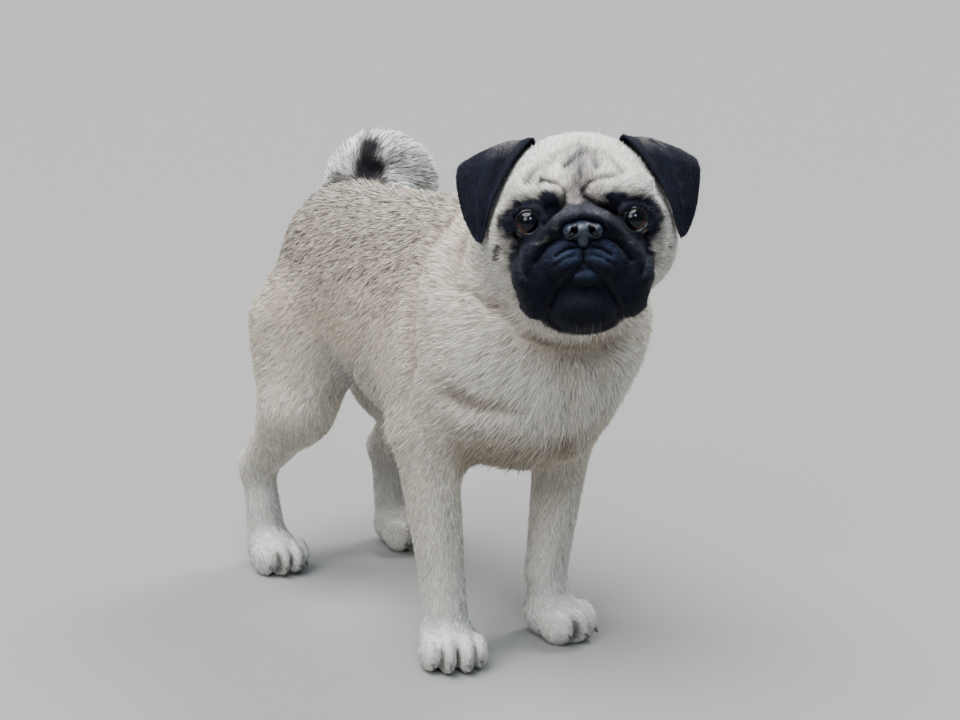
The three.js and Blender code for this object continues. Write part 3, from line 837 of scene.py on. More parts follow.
CREAM = colour_of("e6dac9")
WHITE = colour_of("f5f0e8")
FAWN = colour_of("cdbca8")
SADDLE = colour_of("b0a399")
FOLD_SHADE = colour_of("7d6a5b")
GREY = colour_of("8a8482")
ROLL = colour_of("33343c")
BRIDGE = colour_of("6e625e")
# The blacks are black with a bluish tint, a painted reflection of the sky on black hair.
SKY_TINTED_BLACK = colour_of("080c1b")
# Painted sheen: a bluish reflection of the sky on the top of the upper lips.
LIP_PAINTED_SHEEN = colour_of("273149")
SKY_TINTED_VELVET = colour_of("0a0e1d")
TOE_DARK = colour_of("3c3838")
TAIL_HOLLOW_SHADE = colour_of("1d1c20")
# Painted shade: a dark streak in the hollow at the middle of the curl, as places forward and up in the
# curl's own plane.
TAIL_STREAK = [(-8, 0, -0.5), (-2, 0, 0), (-1.5, 0, 5), (-3.5, 0, 10.5)]
TAIL_STREAK_RADII = [3, 6.6, 4.6, 1.5]
BLOTCH_KINDS, WAVE_COUNT = 8, 7
WAVES = [
    (rng.normal(size=(WAVE_COUNT, 3)), rng.uniform(0, 2 * np.pi, WAVE_COUNT)) for _ in range(BLOTCH_KINDS)
]
WAVE_PITCH, WAVE_SUM = 2.2, 2.6


# A smooth field of blotches between about -1 and 1, each about as wide as the size.
def blotches(p, size, kind):
    k, phase = WAVES[kind]
    return np.sin(p @ k.T * (WAVE_PITCH / size) + phase).sum(-1) / WAVE_SUM


# The half width of the mask over its height, from the chin up to the brow.
MASK_HALF_WIDTHS = np.array([
    (-59, 0), (-56, 13), (-52, 21), (-46, 28.5), (-38, 34), (-32, 34), (-26, 32), (-20, 30),
    (-14, 27), (-10, 21), (-2, 12), (2.5, 7), (4, 0),
])
# The mask widens over the sides of the muzzle, in front of this place.
MASK_SIDE, MASK_SPREAD = -20, 1.6
NOSE_ROLL = [(0, 0, 5.5), (9, 0, 3), (17, 0, -3), (23, 0, -9), (28, 0, -16)]
NOSE_ROLL_RADII = [5.5, 5, 4.5, 4.5, 4]
# A dark spot with a few hairs on each cheek: from, to and radii.
CHEEK_SPOTS = [
    ((-41.3, -23, -12.6), (-43.6, -19, -17.5), 1.6, 1.8),
    ((43, -20, -11), (44, -18, -14), 0.8, 1),
]


def eye_patch(flat):
    around = ball(flat, [26, 0, 0.5], [13.5, 20, 11.5])
    above = bone(flat, [25, 0, 5], [16, 0, 9.5], 7, 6)
    inner = bone(flat, [19, 0, -1], [16, 0, 7], 5, 4)
    corner = bone(flat, [30, 0, -2], [38, 0, 0.5], 4, 2.5)
    below = bone(flat, [28, 0, -8], [31, 0, -18], 5, 4)
    return joined(2, around, above, inner, corner, below)


def head_markings(q, normal):
    m = mirrored(q)
    flat = m * (1, 0, 1)
    rough = 1.2 * blotches(q, 5, 0) + 0.8 * blotches(q, 2.2, 1)
    front = smoothstep(-q[:, 1], 4, 14)
    colour = mix(mix(CREAM, WHITE, 0.45), FAWN, 0.5 * smoothstep(q[:, 1], -8, 20))
    thumb = ball(q * (1, 0, 1), [1, 0, 27], [12, 20, 15]) + 1.5 * rough
    colour = mix(colour, GREY, 0.75 * front * smoothstep(-thumb, -4, 8))
    bridge = bone(flat, [0, 0, 16], [6, 0, 8], 7, 8) + rough
    colour = mix(colour, BRIDGE, 0.6 * front * smoothstep(-bridge, -4, 4))
    fold = bone(flat, [36, 0, -7], [31, 0, -26], 2, 3) + rough
    colour = mix(colour, GREY, 0.6 * front * smoothstep(-fold, -3, 2))
    spots = np.minimum.reduce([bone(q, *spot) for spot in CHEEK_SPOTS])
    colour = mix(colour, SKY_TINTED_BLACK, 0.9 * smoothstep(-spots - 0.5 * rough, -0.8, 0.8))
    roll = chain(flat, NOSE_ROLL, NOSE_ROLL_RADII) + 0.7 * rough
    colour = mix(colour, ROLL, front * smoothstep(-roll, -2.5, 2.5))
    width = np.interp(q[:, 2], *MASK_HALF_WIDTHS.T)
    width += MASK_SPREAD * np.clip(MASK_SIDE - q[:, 1], 0, 12) * smoothstep(-q[:, 2], 8, 20)
    jaw_end = smoothstep(-q[:, 1] - 1.5 * rough, 5, 16)
    masked = np.where(q[:, 2] < -20, jaw_end, front) * smoothstep(width - m[:, 0] - 0.9 * rough, -3, 3)
    colour = mix(colour, SKY_TINTED_BLACK, masked)
    colour = mix(colour, SKY_TINTED_BLACK, front * smoothstep(-eye_patch(flat) - 0.6 * rough, -2, 2))
    # Painted sheen: the lips are painted bluish where they face up, as a reflection of the sky.
    lips = 1 - smoothstep(length(m - (6, -46, -19)), 6, 15)
    colour = mix(colour, LIP_PAINTED_SHEEN, 0.8 * front * lips * smoothstep(normal[:, 2], -0.3, 0.7))
    # Painted shade darkens the face in its creases.
    crease = np.clip(face_creases(q) / 2, 0, 1) * front
    return mix(colour, SKY_TINTED_BLACK, 0.75 * crease)


# A whorl of darker hair low on the chest, and the pad on the inner side of the left foreleg.
WHORL = np.array([-4.6, -53.2, 53.8])
CARPAL_PAD = np.array([5.6, -29.4, 8])


def body_markings(p, normal):
    rough = blotches(p, 9, 2) + 0.5 * blotches(p, 3.5, 3)
    saddle = smoothstep(p[:, 2] + 0.12 * p[:, 1] + 4 * rough, 68, 93)
    saddle = saddle * smoothstep(p[:, 1] + 3 * rough, -40, -8)
    upper = smoothstep(p[:, 2] + 3 * rough, 30, 84) * smoothstep(p[:, 1], -44, -16)
    colour = mix(CREAM, FAWN, 0.8 * upper)
    colour = mix(colour, SADDLE, 0.75 * saddle)
    breast = smoothstep(-p[:, 1], 34, 50) * smoothstep(88 - p[:, 2], 0, 30)
    colour = mix(colour, WHITE, 0.35 * breast)
    # Underneath, the coat is white towards the back and fawn towards the front, darkened with painted shade
    # where it faces down.
    under = smoothstep(-normal[:, 2], 0.15, 0.75) * smoothstep(p[:, 2], 36, 44)
    colour = mix(colour, mix(WHITE, FAWN, smoothstep(-p[:, 1], 0, 20)) * 0.6, 0.85 * under)
    # The legs are painted whiter towards the feet, partly for their paler hair and partly as painted light.
    low = 1 - smoothstep(p[:, 2] + 2 * rough, 8, 38)
    colour = mix(colour, WHITE, 0.75 * low)
    whorl = length(p - WHORL) - 1.8 + 0.5 * rough
    colour = mix(colour, FOLD_SHADE, 0.8 * smoothstep(-whorl, -2, 1))
    pad = length(p - CARPAL_PAD) - 1.1
    colour = mix(colour, TOE_DARK, smoothstep(-pad, -0.8, 0.4))
    # Painted shade darkens the folds of the loose skin.
    return mix(colour, FOLD_SHADE, 0.6 * np.clip(body_folds(p) / 2.2, 0, 1))


def toe_markings(p, colour):
    for at, yaw, size in PAWS:
        q = to_paw(p, at, yaw)
        here = (length(q) < 14) & (q[:, 1] < -4)
        across = np.abs(q[:, 0])
        between = np.exp(-((across - 3.9 * size) / 0.55) ** 2) + np.exp(-(across / 0.5) ** 2)
        dark = here * between * smoothstep(-q[:, 1], 5, 7.5) * smoothstep(4 - q[:, 2], 0, 3)
        colour = mix(colour, TOE_DARK, np.clip(0.9 * dark, 0, 1))
    return colour


EAR_TREE_ROWS, EAR_TREE_COLUMNS = 90, 46
EAR_TREE_U, EAR_TREE_V = [shares.ravel() for shares in ear_lattice(EAR_TREE_ROWS, EAR_TREE_COLUMNS)]


def ear_tree():
    tree = KDTree(len(EAR_TREE_U))
    for index, place in enumerate(ear_place(EAR_TREE_U, EAR_TREE_V)):
        tree.insert(place, index)
    tree.balance()
    return tree


EAR_TREE = ear_tree()


# How far each place lies from the middle of the ears, and where on them, down u and across v.
def on_ears(m):
    away = np.full(len(m), 99.0)
    u, v = np.zeros(len(m)), np.zeros(len(m))
    for i in np.flatnonzero((m[:, 0] > 15) & (m[:, 2] > -13) & (m[:, 1] < 26) & (m[:, 1] > -24)):
        _, index, away[i] = EAR_TREE.find(m[i])
        u[i], v[i] = EAR_TREE_U[index], EAR_TREE_V[index]
    return away, u, v


# Shares that say which part of the animal a place on the skin belongs to.
def parts_at(p):
    q = to_head(p)
    away, u, v = on_ears(mirrored(q))
    ear = 1 - smoothstep(away, 1.5, 2.0)
    tail_reach = 1.8 + 2.7 * smoothstep(p[:, 1], 34, 42)
    tail_share = 1 - smoothstep(near(tail, p, TAIL_MIDDLE, TAIL_EXTENT), 0.6, tail_reach)
    beyond = head_bulk(q, mirrored(q)) - 11 * smoothstep(-q[:, 1], 8, 20)
    head_share = (1 - smoothstep(beyond, 1.5, 9)) * (1 - ear)
    leg = 1 - smoothstep(p[:, 2], 34, 56)
    return SimpleNamespace(q=q, head=head_share, ear=ear, ear_u=u, ear_v=v, tail=tail_share, leg=leg)


def ear_markings(parts):
    q = parts.q
    u, v = parts.ear_u, parts.ear_v
    base = smoothstep(u, 0.04, 0.14) * (1 - smoothstep(u, 0.26, 0.46))
    base *= smoothstep(v, 0.1, 0.2) * (1 - smoothstep(v, 0.25, 0.55))
    pale = base * smoothstep(blotches(q, 3, 4) + blotches(q, 1.5, 7), -2.2, 0.4)
    return mix(SKY_TINTED_VELVET, mix(GREY, WHITE, 0.2), 0.4 * pale)


def markings(p, normal, parts):
    colour = body_markings(p, normal)
    off = p - TAIL_MIDDLE
    flat = np.stack([dot(off, TAIL_FRONT), 0 * off[:, 0], off[:, 2]], -1)
    streak = chain(flat, TAIL_STREAK, TAIL_STREAK_RADII) + blotches(p, 3, 5)
    # The curl is painted a little brighter than white as a painted highlight, with painted shade in its
    # hollow.
    tail_lit_and_shaded = mix(1.05 * WHITE, TAIL_HOLLOW_SHADE, smoothstep(-streak, -2.5, 2))
    colour = mix(colour, tail_lit_and_shaded, parts.tail)
    colour = mix(colour, head_markings(parts.q, normal), parts.head)
    colour = mix(colour, ear_markings(parts), parts.ear)
    return toe_markings(p, colour)


# Lie of the coat: the way its hairs point, along the skin. On the chest it fans out from the throat.
THROAT = np.array([-6, -62, 90])


def coat_lie(p, normal, parts):
    side = np.sign(p[:, 0])
    back = np.array([0, 1, -0.45]) + np.stack([0 * side, 0 * side, -0.6 * np.abs(normal[:, 0])], -1)
    down = np.array([0, 0.12, -1])
    fan = unit(p - THROAT)
    lie = mix(back, fan, smoothstep(-p[:, 1], 12, 34))
    lie = mix(lie, down, parts.leg)
    for at, yaw, _ in PAWS:
        foot = 1 - smoothstep(length(to_paw(p, at, yaw) - (0, -3, 0)), 6, 12)
        lie = mix(lie, np.array([0, -1, -0.35]) @ turn_of(yaw).T, foot)
    face = unit(parts.q - (0, -50, -6)) @ HEAD_TURN.T
    lie = mix(lie, face, parts.head)
    t = np.linspace(0, 1, TAIL_STEPS)
    line, onward = tail_line(t), unit(tail_line(t + 0.01) - tail_line(t))
    tailed = parts.tail > 0
    nearest = np.argmin(((p[tailed, None] - line) ** 2).sum(-1), 1)
    spread = 0.35 * onward[nearest] + unit(p[tailed] - TAIL_HOLLOW)
    lie[tailed] = mix(lie[tailed], spread, parts.tail[tailed])
    eared = parts.ear > 0
    u, v = parts.ear_u[eared], parts.ear_v[eared]
    flow = unit(ear_place(np.minimum(u + 0.03, 1), v) - ear_place(np.maximum(u - 0.03, 0), v))
    flow[:, 0] *= np.sign(parts.q[eared, 0])
    lie[eared] = mix(lie[eared], flow @ HEAD_TURN.T, parts.ear[eared])
    sway = 0.16 * np.stack([blotches(p, 7, k) for k in (4, 5, 6)], -1)
    lie = unit(lie) + sway
    return unit(lie - normal * dot(lie, normal)[:, None])


# Longer hair hangs along the lower edge of the chest and from the flank to the elbow.
CHEST_EDGE = [
    (-19, -37, 47.5), (-11, -38.5, 45.5), (-10, -47, 48.6), (-6, -52.5, 52.5), (5, -51, 51), (13, -42, 48),
]
BELLY_EDGE = [(-23, 2, 61), (-26, -13, 58), (-30, -28, 54)]

# Length and width in millimetres and raise in degrees of the tufts, and how far their shading leans
# to the sky, as light goes through loose white hair.
BODY_TUFT = np.array([5.2, 0.54, 11, 0])
CHEST_TUFT = np.array([8.0, 0.6, 13, 0])
LEG_TUFT = np.array([4.4, 0.44, 11, 0])
FRINGE_TUFT = np.array([14.0, 0.62, 8, 0])
FOOT_TUFT = np.array([3.0, 0.42, 11, 0])
FACE_TUFT = np.array([3.8, 0.42, 12, 0])
CROWN_TUFT = np.array([5.4, 0.54, 12, 0])
MUZZLE_TUFT = np.array([2.2, 0.32, 13, 0])
EAR_TUFT = np.array([2.6, 0.34, 10, 0])
TAIL_TUFT = np.array([6.5, 0.55, 12, 1.4])


def coat_form(p, parts):
    chest = smoothstep(-p[:, 1], 34, 46) * smoothstep(p[:, 2], 50, 60)
    edges = [chain(p, edge, [0] * len(edge)) for edge in (CHEST_EDGE, BELLY_EDGE)]
    fringe = 1 - smoothstep(np.minimum(*edges), 1.5, 5)
    foot = 1 - smoothstep(p[:, 2], 3, 14)
    muzzle = 1 - smoothstep(length(parts.q - (0, -40, -16)), 18, 44)
    crown = smoothstep(parts.q[:, 1], -18, 14)
    form = mix(BODY_TUFT, CHEST_TUFT, chest)
    form = mix(form, LEG_TUFT, parts.leg)
    form = mix(form, FRINGE_TUFT, 0.9 * fringe)
    form = mix(form, FOOT_TUFT, foot)
    face = mix(mix(FACE_TUFT, CROWN_TUFT, crown), MUZZLE_TUFT, muzzle)
    form = mix(form, face, parts.head)
    form = mix(form, EAR_TUFT, parts.ear)
    return mix(form, TAIL_TUFT, parts.tail)


# An unwrap of the skin: the head is spread out from its nose, and the trunk, tail, ears and legs are
# each rolled off round their own axes into a tile of the map, given as place and size.
PATCH = 0.003
TRUNK_TILE = (0.01, 0.01, 0.58, 0.48)
TAIL_TILE = (0.51, 0.51, 0.48, 0.14)
EAR_TILE = (0.51, 0.67, 0.48, 0.32)
LEG_TILE, LEG_TILE_STEPS = (0.61, 0.01, 0.18, 0.23), (0.19, 0.25)
HEAD_TILE_MIDDLE, HEAD_TILE_RADIUS = np.array([0.25, 0.75]), 0.24
# A place on each axis, and where each form ends along it.
TRUNK_AXIS, TRUNK_ENDS = np.array([0, 0, 72]), (-64, 58)
EAR_AXIS, EAR_ENDS = np.array([0, -3, 14]), (-12, 46)
HEAD_AXIS = np.array([0, -5, -8])
TAIL_ENDS = (-6, 20)
LEG_TOP = 46


def turned_off(p, axis_place, along, low, high, tile):
    x, y, width, height = tile
    axes = [k for k in range(3) if k != along]
    off = p - axis_place
    around = np.arctan2(off[:, axes[0]], off[:, axes[1]]) / (2 * np.pi) + 0.5
    up = np.clip((p[:, along] - low) / (high - low), 0, 1)
    return np.stack([x + width * around, y + height * up], -1)


def unwrapped(p):
    parts = parts_at(p)
    q = parts.q
    uv = turned_off(p, TRUNK_AXIS, 1, *TRUNK_ENDS, TRUNK_TILE)
    x, y, *size = LEG_TILE
    for row, legs_of in enumerate((FORELEGS, HINDLEGS)):
        for column, (leg, side) in enumerate(zip(legs_of.values(), (RIGHT, LEFT))):
            here = (p[:, 2] < LEG_TOP) & (p[:, 0] * side > 0) & ((p[:, 1] > 0) == row)
            tile = (x + LEG_TILE_STEPS[0] * column, y + LEG_TILE_STEPS[1] * row, *size)
            uv[here] = turned_off(p[here], np.array([*leg["paw"], 0]), 2, 0, LEG_TOP, tile)
    tailed = parts.tail > 0.5
    uv[tailed] = turned_off(p[tailed], TAIL_MIDDLE, 0, *TAIL_ENDS, TAIL_TILE)
    headed = parts.head > 0.5
    out = unit(q[headed] - HEAD_AXIS)
    apart = np.sqrt(np.clip((1 + out[:, 1]) / 2, 0, 1))
    spin = np.arctan2(out[:, 2], out[:, 0])
    spread = apart[:, None] * np.stack([np.cos(spin), np.sin(spin)], -1)
    uv[headed] = HEAD_TILE_MIDDLE + HEAD_TILE_RADIUS * spread
    eared = parts.ear > 0.5
    uv[eared] = turned_off(q[eared], EAR_AXIS, 2, *EAR_ENDS, EAR_TILE)
    return uv


TUFT_COUNT = 370000
TUFTS_PER_PIECE = 47000
SINK = 0.35 * MM
RIDGE_HEIGHT, RIDGE_SINK = 0.36, 0.8
# Painted shade and light along each tuft: brightness at the foot's two corners, the ridge and the tip,
# darker at the root where the hairs shade each other and lighter at the tip, so that the hairs stand out one
# by one.
TUFT_PAINTED_SHADING = np.array([0.42, 0.42, 0.85, 1.25])
# How far the shading leans along the hair, to both sides of it, and by chance.
LEAN_ALONG, LEAN_ACROSS, LEAN_CHANCE = 0.25, 0.35, 0.3


def roots_on(places, normals, triangles):
    corners = places[triangles]
    middle = corners.mean(1)
    area = length(np.cross(corners[:, 1] - corners[:, 0], corners[:, 2] - corners[:, 0])) / 2
    form = coat_form(middle, parts_at(middle))
    weight = area / (form[:, 0] * form[:, 1])
    weight[bare(middle)] = 0
    chosen = np.searchsorted(np.cumsum(weight) / weight.sum(), np.sort(rng.random(TUFT_COUNT)))
    a, b = rng.random((2, TUFT_COUNT, 1))
    a, b = np.where(a + b > 1, 1 - a, a), np.where(a + b > 1, 1 - b, b)
    shares = np.concatenate([1 - a - b, a, b], 1)
    picked = triangles[chosen]
    roots = (places[picked] * shares[..., None]).sum(1)
    return roots, unit((normals[picked] * shares[..., None]).sum(1))


# The lids' edges, the nose's surround and the soles carry no tufts.
def bare(p):
    q = to_head(p)
    m = mirrored(q)
    lids = length((m - EYE_AT) * (1, 0.6, 1)) < 0.86 * EYE_RADIUS
    leather = nose(q) < 0.8
    return lids | leather | (p[:, 2] < 0.25)


def tuft_mesh(name, roots, normals, lie, form, colours):
    count = len(roots)
    long, wide = form[:, 0] * MM, form[:, 1] * MM
    rise = np.radians(form[:, 2])
    across = np.cross(normals, lie)
    foot = roots - normals * SINK
    half = across * (wide / 2)[:, None]
    ridge = foot + normals * (RIDGE_HEIGHT * wide + RIDGE_SINK * SINK)[:, None]
    tip = roots + lie * (long * np.cos(rise))[:, None] + normals * (long * np.sin(rise))[:, None]
    vertices = np.stack([foot - half, foot + half, ridge, tip], 1).reshape(-1, 3)
    vertices[:, 2] = np.maximum(vertices[:, 2], FLOOR_GAP)
    first = 4 * np.arange(count)[:, None, None]
    faces = first + np.array([[0, 3, 2], [2, 3, 1], [1, 3, 0], [0, 2, 1]])
    piece = mesh_object(name, vertices, faces.reshape(-1, 3))
    soft = normals + LEAN_ALONG * lie + rng.normal(0, LEAN_CHANCE, (count, 1)) * across + form[:, 3:] * UP
    aside = LEAN_ACROSS * across
    shading = np.stack([soft - aside, soft + aside, soft, soft], 1).reshape(-1, 3)
    piece.data.normals_split_custom_set_from_vertices(unit(shading))
    # Each tuft's vertex colours carry painted shade at its root and painted light at its tip.
    paint(piece, (colours[:, None] * TUFT_PAINTED_SHADING[:, None]).reshape(-1, 3))
    patch = PATCH / 2 * np.array([(-1, -1), (1, -1), (-1, 1), (1, 1)])
    corners = (unwrapped(roots)[:, None] + patch).reshape(-1, 2)[faces.reshape(-1)]
    piece.data.uv_layers.new(name="OFBake").data.foreach_set("uv", corners.astype(np.float32).ravel())
    return piece


# Materials take their colour from the markings painted on the vertices. Wet ones have a clear layer.
CLEAR_ROUGHNESS, CLEAR_IOR = 0.03, 1.36


def painted_material(name, roughness, specular, sheen=0.0, clear=0.0):
    made = bpy.data.materials.new(name)
    made.use_nodes = True
    nodes, links = made.node_tree.nodes, made.node_tree.links
    shader = nodes["Principled BSDF"]
    markings_node = nodes.new("ShaderNodeAttribute")
    markings_node.attribute_name = "coat"
    links.new(markings_node.outputs["Color"], shader.inputs["Base Color"])
    shader.inputs["Roughness"].default_value = roughness
    shader.inputs["Specular IOR Level"].default_value = specular
    shader.inputs["Sheen Weight"].default_value = sheen
    shader.inputs["Coat Weight"].default_value = clear
    shader.inputs["Coat Roughness"].default_value = CLEAR_ROUGHNESS
    shader.inputs["Coat IOR"].default_value = CLEAR_IOR
    return made


def add_bump(material, texture, output, scale, strength, distance):
    nodes, links = material.node_tree.nodes, material.node_tree.links
    grain = nodes.new(texture)
    grain.inputs["Scale"].default_value = scale
    place = nodes.new("ShaderNodeTexCoord")
    links.new(place.outputs["Object"], grain.inputs["Vector"])
    bump = nodes.new("ShaderNodeBump")
    bump.inputs["Strength"].default_value = strength
    bump.inputs["Distance"].default_value = distance
    links.new(grain.outputs[output], bump.inputs["Height"])
    links.new(bump.outputs["Normal"], nodes["Principled BSDF"].inputs["Normal"])


# Nose leather: pebbled, moist and black, with a bluish tint that is a painted reflection of the sky, and
# painted shade in the nostrils.
SKY_TINTED_LEATHER = colour_of("18202f")
NOSTRIL_SHADE = colour_of("020203")
NOSE_LOW, NOSE_HIGH, NOSE_CELL = np.array([-12, -58, -15]), np.array([12, -38, 4]), 0.42


def nose_skin(material):
    vertices, quads = nets(sampled(nose, NOSE_LOW, NOSE_HIGH, NOSE_CELL), NOSE_LOW, NOSE_CELL)
    vertices = settled(nose, vertices, rounds=1)
    piece = mesh_object("nose_leather", from_head(vertices), quads)
    m = mirrored(vertices)
    # Painted shade: the nostrils are painted near black inside.
    inside = smoothstep(-nostril(m), -0.6, 0.2)
    paint(piece, mix(SKY_TINTED_LEATHER, NOSTRIL_SHADE, inside) * (1 + 0.12 * blotches(vertices, 1.6, 6))[:, None])
    add_bump(material, "ShaderNodeTexVoronoi", "Distance", scale=900, strength=0.35, distance=0.0004)
    piece.data.materials.append(material)
    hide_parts("nose")
    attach(piece, BODY)


# Eyes: a ball whose pole looks at the camera, with a large pupil, a brown iris painted bright below as
# painted light from above coming through the cornea, and dark above, and a dark rim. The pupil, iris and rim
# end at these angles from the pole.
PUPIL, IRIS, LIMBUS = 30, 38, 41
FINE_END, FINE_RINGS, COARSE_RINGS, SPOKES = 46, 39, 19, 72
CORNEA_BULGE = 0.035
PUPIL_COLOUR = colour_of("020308")
IRIS_COLOUR = colour_of("452410")
LIMBUS_COLOUR = colour_of("0b0708")
EYE_WHITE = colour_of("2c2426")
LID_DARK = colour_of("0d0e13")
TEAR_LINE_HIGHLIGHT = colour_of("8a93a3")
LID_ANGLE, TEAR_ANGLE = 43, 38.5
LID_FLATNESS = 3.5
LID_TUBE, TEAR_TUBE = 0.95, 0.24
LID_STEPS = 64
TUBE_SIDES = 10
ASKEW = np.array([0.31, 0.17, 0.93])


def halves(quads):
    return np.concatenate([quads[:, [0, 1, 2]], quads[:, [0, 2, 3]]])


# The surface round a line, with one row of vertices for each of its sides.
def tube(places, onward, radii):
    across = unit(np.cross(onward, ASKEW))
    up = np.cross(onward, across)
    a = np.linspace(0, 2 * np.pi, TUBE_SIDES, endpoint=False)[:, None, None]
    vertices = places + radii[:, None] * (across * np.cos(a) + up * np.sin(a))
    index = np.arange(TUBE_SIDES * len(places)).reshape(TUBE_SIDES, len(places))
    return vertices.reshape(-1, 3), index, np.roll(index, -1, 0)


def ring(places, radius):
    onward = unit(np.roll(places, -1, 0) - np.roll(places, 1, 0))
    vertices, index, after = tube(places, onward, np.full(len(places), radius))
    faces = np.stack([np.roll(index, -1, 1), np.roll(after, -1, 1), after, index], -1)
    return vertices, faces.reshape(-1, 4)


def horn(places, radii):
    vertices, index, after = tube(places, unit(np.gradient(places, axis=0)), radii)
    sides = np.stack([index[:, 1:], after[:, 1:], after[:, :-1], index[:, :-1]], -1).reshape(-1, 4)
    root, tip = len(vertices), len(vertices) + 1
    root_fan = np.stack([index[:, 0], after[:, 0], 0 * index[:, 0] + root], -1)
    tip_fan = np.stack([after[:, -1], index[:, -1], 0 * index[:, 0] + tip], -1)
    return np.concatenate([vertices, places[[0, -1]]]), np.concatenate([halves(sides), root_fan, tip_fan])


def eye(name, side, material):
    centre = EYE_AT * (side, 1, 1)
    look = unit((CAMERA_PLACE - from_head(centre)) @ HEAD_TURN)
    right = unit(np.cross(look, UP))
    up = np.cross(right, look)
    fine = np.linspace(0, FINE_END, FINE_RINGS + 1)[1:]
    coarse = np.linspace(FINE_END, 180, COARSE_RINGS + 2)[1:-1]
    angle = np.radians(np.concatenate([fine, coarse]))
    spin = np.linspace(0, 2 * np.pi, SPOKES, endpoint=False)
    bulge = 1 + CORNEA_BULGE * np.clip(1 - (np.degrees(angle) / LIMBUS) ** 2, 0, 1)
    a, s = np.meshgrid(angle, spin, indexing="ij")
    aside = right * np.cos(s)[..., None] + up * np.sin(s)[..., None]
    direction = look * np.cos(a)[..., None] + aside * np.sin(a)[..., None]
    shell = (direction * (EYE_RADIUS * bulge)[:, None, None]).reshape(-1, 3)
    poles = np.stack([look * EYE_RADIUS * (1 + CORNEA_BULGE), -look * EYE_RADIUS])
    vertices = centre + np.concatenate([shell, poles])
    index = np.arange(len(shell)).reshape(len(angle), SPOKES)
    after = np.roll(index, -1, 1)
    strips = np.stack([index[:-1], after[:-1], after[1:], index[1:]], -1).reshape(-1, 4)
    front = np.stack([0 * index[0] + len(shell), after[0], index[0]], -1)
    rear = np.stack([0 * index[0] + len(shell) + 1, index[-1], after[-1]], -1)
    faces = np.concatenate([halves(strips), front, rear])
    piece = mesh_object(f"eyeball_{name}", from_head(vertices), faces)
    degrees = np.degrees(np.concatenate([a.ravel(), [0, np.pi]]))
    streaks = np.concatenate([np.sin(37 * s.ravel()) + np.sin(61 * s.ravel() + 2), [0, 0]])
    lit_below = np.concatenate([smoothstep(-np.sin(s.ravel()), -0.2, 0.7), [0, 0]])
    iris = mix(LIMBUS_COLOUR, IRIS_COLOUR, lit_below) * (1 + 0.18 * streaks[:, None])
    colour = mix(PUPIL_COLOUR + 0 * iris, iris, smoothstep(degrees, PUPIL - 1, PUPIL + 1.5))
    colour = mix(colour, LIMBUS_COLOUR, smoothstep(degrees, IRIS, IRIS + 2))
    colour = mix(colour, EYE_WHITE, smoothstep(degrees, LIMBUS, LIMBUS + 2))
    paint(piece, colour)
    piece.data.materials.append(material)
    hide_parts(f"eye_{name}")
    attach(piece, BODY)
    lid_ring(f"lid_{name}", side, LID_ANGLE, LID_TUBE, LID_DARK, material)
    lid_ring(f"tear_line_{name}", side, TEAR_ANGLE, TEAR_TUBE, TEAR_LINE_HIGHLIGHT, material)


# A ring round the opening of the lids: the lid's bare edge, or the line of tears inside it, whose lower half
# carries a painted highlight of its wet film.
def lid_ring(name, side, angle, thickness, colour_below, material):
    a = np.linspace(0, 2 * np.pi, LID_STEPS, endpoint=False)
    theta = np.radians(angle - LID_FLATNESS * np.abs(np.sin(a)))
    local = EYE_RADIUS * np.stack([np.sin(theta) * np.cos(a), -np.cos(theta), np.sin(theta) * np.sin(a)], -1)
    line = (EYE_AT + local @ turn_of(EYE_YAW).T) * (side, 1, 1)
    vertices, faces = ring(line, thickness)
    piece = mesh_object(name, from_head(vertices), faces[:, ::side])
    # The tear line's lower half is painted pale, a painted highlight; the lid's edge stays dark.
    below = smoothstep(EYE_AT[2] - vertices[:, 2], 0.05 * EYE_RADIUS, 0.5 * EYE_RADIUS)
    paint(piece, mix(LID_DARK, colour_below, below))
    piece.data.materials.append(material)
    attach(piece, BODY)


CLAW = colour_of("2b2725")
CLAW_TIP = colour_of("57504a")
INNER_CLAW, OUTER_CLAW = (2.2, -8.6, -1.5), (5.7, -6.2, -1.7)
CLAW_STARTS = [np.array(claw) * (side, 1, 1) for side in (RIGHT, LEFT) for claw in (INNER_CLAW, OUTER_CLAW)]
CLAW_STEPS = 9
CLAW_LENGTH, CLAW_DROP = 2.6, 2.1
CLAW_RADIUS, CLAW_TIP_RADIUS = 0.55, 0.05


# Four claws to a paw, each bent down over the end of its toe.
def claws(material):
    vertices, faces, colours = [], [], []
    total = 0
    t = np.linspace(0, 1, CLAW_STEPS)
    onward, down = CLAW_LENGTH * np.sin(1.1 * t), CLAW_DROP * (1 - np.cos(1.15 * t))
    radii = CLAW_TIP_RADIUS + (CLAW_RADIUS - CLAW_TIP_RADIUS) * (1 - t**1.8)
    for at, yaw, size in PAWS:
        for start in CLAW_STARTS:
            line = start * (size, 1, 1) - np.stack([0 * t, onward, down], -1)
            shell, triangles = horn(line, radii)
            vertices.append(shell @ turn_of(yaw).T + (*at, PAW_HEIGHT))
            faces.append(triangles + total)
            colours.append(mix(CLAW, CLAW_TIP, np.concatenate([np.tile(t, TUBE_SIDES), [0, 1]])))
            total += len(shell)
    piece = mesh_object("claws", np.concatenate(vertices), np.concatenate(faces))
    paint(piece, np.concatenate(colours))
    piece.data.materials.append(material)
    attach(piece, BODY)


# Whiskers: stiff hairs on the lips, brows and chin. Each bed has a middle, a reach and a count.
WHISKER_BEDS = [((25, -36, -27), 8, 12), ((22, -30, 17), 5, 4), ((6, -44, -46), 5, 6)]
WHISKER_LENGTHS, WHISKER_WIDTH, WHISKER_RAISES = (9, 20), 0.26, (14, 34)
PALE_WHISKERS = 0.25


